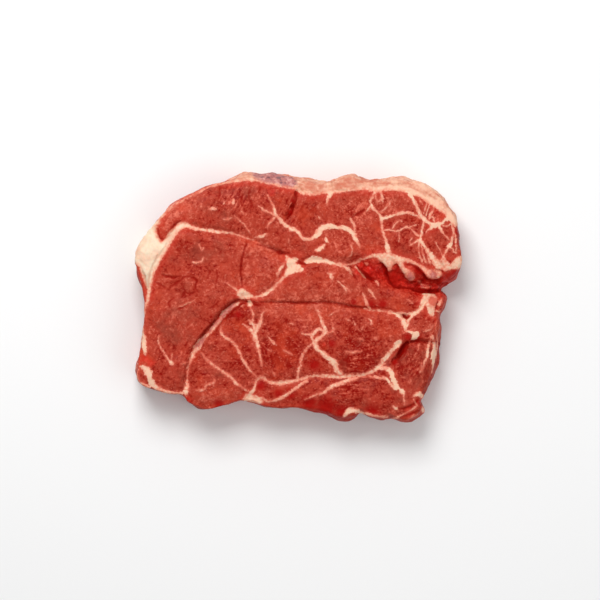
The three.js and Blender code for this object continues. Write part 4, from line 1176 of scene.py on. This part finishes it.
def fat_paint(spot, field, patch, fat_edge, pale):
    """Colour of the fat and of the skin on it, and its relief"""
    _, membrane, tone = field("cover")
    white, rind = tone.most(0), (-tone).most(0)
    cream, band, _ = field("tints")
    _, _, depth = field("flesh")
    x, y, _ = spot.parts()
    beads = spot.cells(2.1) - 0.42
    warm = spot.sway(7, 3, 0.6, shift=11.3, swirl=1) + 0.5 * spot.sway(2.4, 2, shift=9.4)
    ragged = 9 * spot.sway(6, 3, 0.65, shift=25.1)
    covered = (membrane + ragged - 5 * depth.ease(0.3, 0.8)).ease(-1, 2.2)
    pale = pale.most(0.8 * patch.ease(-0.35, 0.45)) * (0.55 + 0.45 * fat_edge.ease(0, 1.8))
    rich = 0.97 * pale * (1 - 0.8 * covered) + 0.42 * cream - 1.4 * warm - 0.5 * beads
    colour = rich.ease(0, 0.45).mix(FAT_PINK, FAT_PEACH)
    colour = rich.ease(0.4, 1).mix(colour, FAT_CREAM)
    # the thick cap: streaks that follow its edge
    follow = spot.node("ShaderNodeCombineXYZ", {}, {0: 0.42 * patch, 1: 50 * x, 2: 50 * y})
    streak = follow.sway(1000, 1)
    blotch = spot.sway(13, 1, shift=31.3, swirl=0.6) + 0.6 * spot.sway(6, 1, shift=33)
    outer = 0.22 + 1.6 * streak - 1.5 * warm + 1.6 * blotch - 0.5 * beads + band
    colour = rind.mix(colour, outer.ease(-0.5, 1.1).mix(RIND, RIND_PALE))
    # the white fat at the left end
    whiter = (0.62 + 1.6 * streak + 2.2 * blotch - 0.4 * warm).ease(0, 1)
    colour = (white * patch.ease(0.6, 3.6)).mix(colour, whiter.mix(FAT_CREAM, FAT_WHITE))
    spots = spot.noise(4, 2, 0.6, shift=13.7, swirl=0.5)
    skin = spots.ease(0.36, 0.5).mix(SKIN_DARK, SKIN)
    skin = spots.ease(0.54, 0.66).mix(skin, SKIN_PALE)
    colour = (covered * (0.5 + 0.4 * rind)).mix(colour, skin)
    return colour, 0.2 - 0.4 * beads + 0.5 * streak * rind


def raw_beef(layers):
    """Moist red flesh with seams and patches of fat, worked out from the slab's own fields"""
    material = bpy.data.materials.new("raw_beef")
    material.use_nodes = True
    tree = material.node_tree
    shader = tree.nodes["Principled BSDF"]
    start = Wire(tree)
    spot = start.node("ShaderNodeTexCoord", {}, {}, out="Object")

    def field(name):
        return start.node("ShaderNodeAttribute", {"attribute_name": name}, {}, out="Vector").parts()

    wobble = spot.sway(3.6, 3), spot.sway(1.5, 2, shift=3.1), spot.sway(4.5, 2, shift=7.7)
    stroke_edge, pale = edges(field, layers["fat"], 0.97, 1.9, wobble)
    crease_edge, mark = edges(field, layers["crease"], 1.02, 1.2, wobble)
    patch, _, _ = field("cover")
    patch = patch + 2 * wobble[0] + 1.8 * wobble[1]
    torn, _, lump = field("wounds")
    fat_edge = stroke_edge.most(patch)
    fat = fat_edge.ease(-0.35, 0.35)
    crease = crease_edge.ease(-0.9, 0.4) * (0.5 + 0.5 * mark)
    gap = (1 - lump.ease(0.02, 0.2)) * torn.ease(0.25, 0.8)

    flesh_colour, flesh_relief = flesh_paint(spot, field, patch, fat_edge)
    fat_colour, fat_relief = fat_paint(spot, field, patch, fat_edge, pale)
    colour = fat.mix(flesh_colour, fat_colour)
    # painted shade in the creases and folds, in the crevices between the lumps of the torn hollow, and
    # deepest in the middles of wide creases
    colour = (crease * (0.95 - 0.35 * fat)).mix(colour, fat.mix(CREASE_SHADE, FOLD_SHADE))
    colour = (gap * (0.6 - 0.5 * fat)).mix(colour, CREASE_SHADE)
    colour = (crease_edge.ease(0.4, 1.4) * (0.85 - 0.75 * fat)).mix(colour, DEEP_CREASE_SHADE)
    roughness = 0.42 + 0.16 * spot.sway(3, 2, shift=15.1) + 0.1 * fat - 0.1 * torn
    height = 0.25 * spot.noise(0.9, 2, 0.6, shift=17.9) + flesh_relief * (1 - fat) + fat_relief * fat
    wired = {
        "Base Color": colour,
        "Roughness": roughness + 0.3 * crease.most(gap),
        "Normal": height.bump(0.5, 0.8),
        "Coat Weight": (0.02 + 0.08 * torn) * (1 - gap.most(crease_edge.ease(-1.6, 0))),
    }
    for name, value in wired.items():
        tree.links.new(value.socket, shader.inputs[name])
    for name, value in SHEEN.items():
        shader.inputs[name].default_value = value
    return material


outline = Outline()
slab = slab_mesh()
place, depth = place_vertices(slab.data, outline)
fields = main_fields(place, depth)
place = add_relief(slab.data, place, fields)
low, high = place.min(axis=0), place.max(axis=0)
near, far = (np.array(corner) / MM for corner in solid_box)
place[:, :2] = near[:2] + (place[:, :2] - low[:2]) * (far - near)[:2] / (high - low)[:2]
slab.data.vertices.foreach_set("co", (place * MM).ravel())
slab.data.update()
layers = {kind: [f"{kind}_{number}" for number in range(len(fields[kind]))] for kind in ("fat", "crease")}
for kind, names in layers.items():
    for name, values in zip(names, fields[kind]):
        set_field(slab.data, name, values)
set_field(slab.data, "grain", np.minimum(fields["grain"], 1))
for name, parts in FIELDS.items():
    set_field(slab.data, name, np.stack([fields[part] for part in parts], axis=1))
slab.data.materials.clear()
slab.data.materials.append(raw_beef(layers))
only(slab)
bpy.ops.object.shade_smooth()
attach(slab, "root")
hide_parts("roast")


# The studio, in metres
FLOOR = 6
FLOOR_COLOUR = (0.86, 0.86, 0.86, 1)
FLOOR_ROUGHNESS = 0.8
EYE = 3  # height of the camera
CAMERA_PLACE = (0.00139, -0.0023, EYE)
SENSOR = 36  # width of the camera's sensor, which sets the unit of its lens
VIEW_WIDTH = 0.4554  # width of the picture at the height where the slab is widest
SKY = 0.45
LIGHTS = [  # name, place, size, power
    ("key", (-0.25, 0.75, 1.15), 0.7, 15),
    ("fill", (0.9, -0.5, 1.2), 1.2, 5),
]


def pale_floor():
    bpy.ops.object.select_all(action="DESELECT")
    bpy.ops.mesh.primitive_plane_add(size=FLOOR)
    floor = bpy.context.object
    floor.name = "floor"
    material = bpy.data.materials.new("pale_floor")
    material.use_nodes = True
    shader = material.node_tree.nodes["Principled BSDF"]
    shader.inputs["Base Color"].default_value = FLOOR_COLOUR
    shader.inputs["Roughness"].default_value = FLOOR_ROUGHNESS
    floor.data.materials.append(material)


def soft_light(name, place, size, power):
    """A square light that faces the origin"""
    light = bpy.data.lights.new(name, "AREA")
    light.size = size
    light.energy = power
    lamp = bpy.data.objects.new(name, light)
    lamp.location = place
    lamp.rotation_euler = (-lamp.location).to_track_quat("-Z", "Y").to_euler()
    bpy.context.scene.collection.objects.link(lamp)


def camera_above():
    data = bpy.data.cameras.new("camera")
    data.sensor_width = SENSOR
    data.lens = SENSOR * (EYE - WIDEST * THICKNESS * MM) / VIEW_WIDTH
    camera = bpy.data.objects.new("camera", data)
    camera.location = CAMERA_PLACE
    bpy.context.scene.collection.objects.link(camera)
    bpy.context.scene.camera = camera


pale_floor()
camera_above()
for light in LIGHTS:
    soft_light(*light)
world = bpy.data.worlds.new("studio")
bpy.context.scene.world = world
world.use_nodes = True
world.node_tree.nodes["Background"].inputs["Color"].default_value = (1, 1, 1, 1)
world.node_tree.nodes["Background"].inputs["Strength"].default_value = SKY
bpy.context.scene.view_settings.view_transform = "Standard"
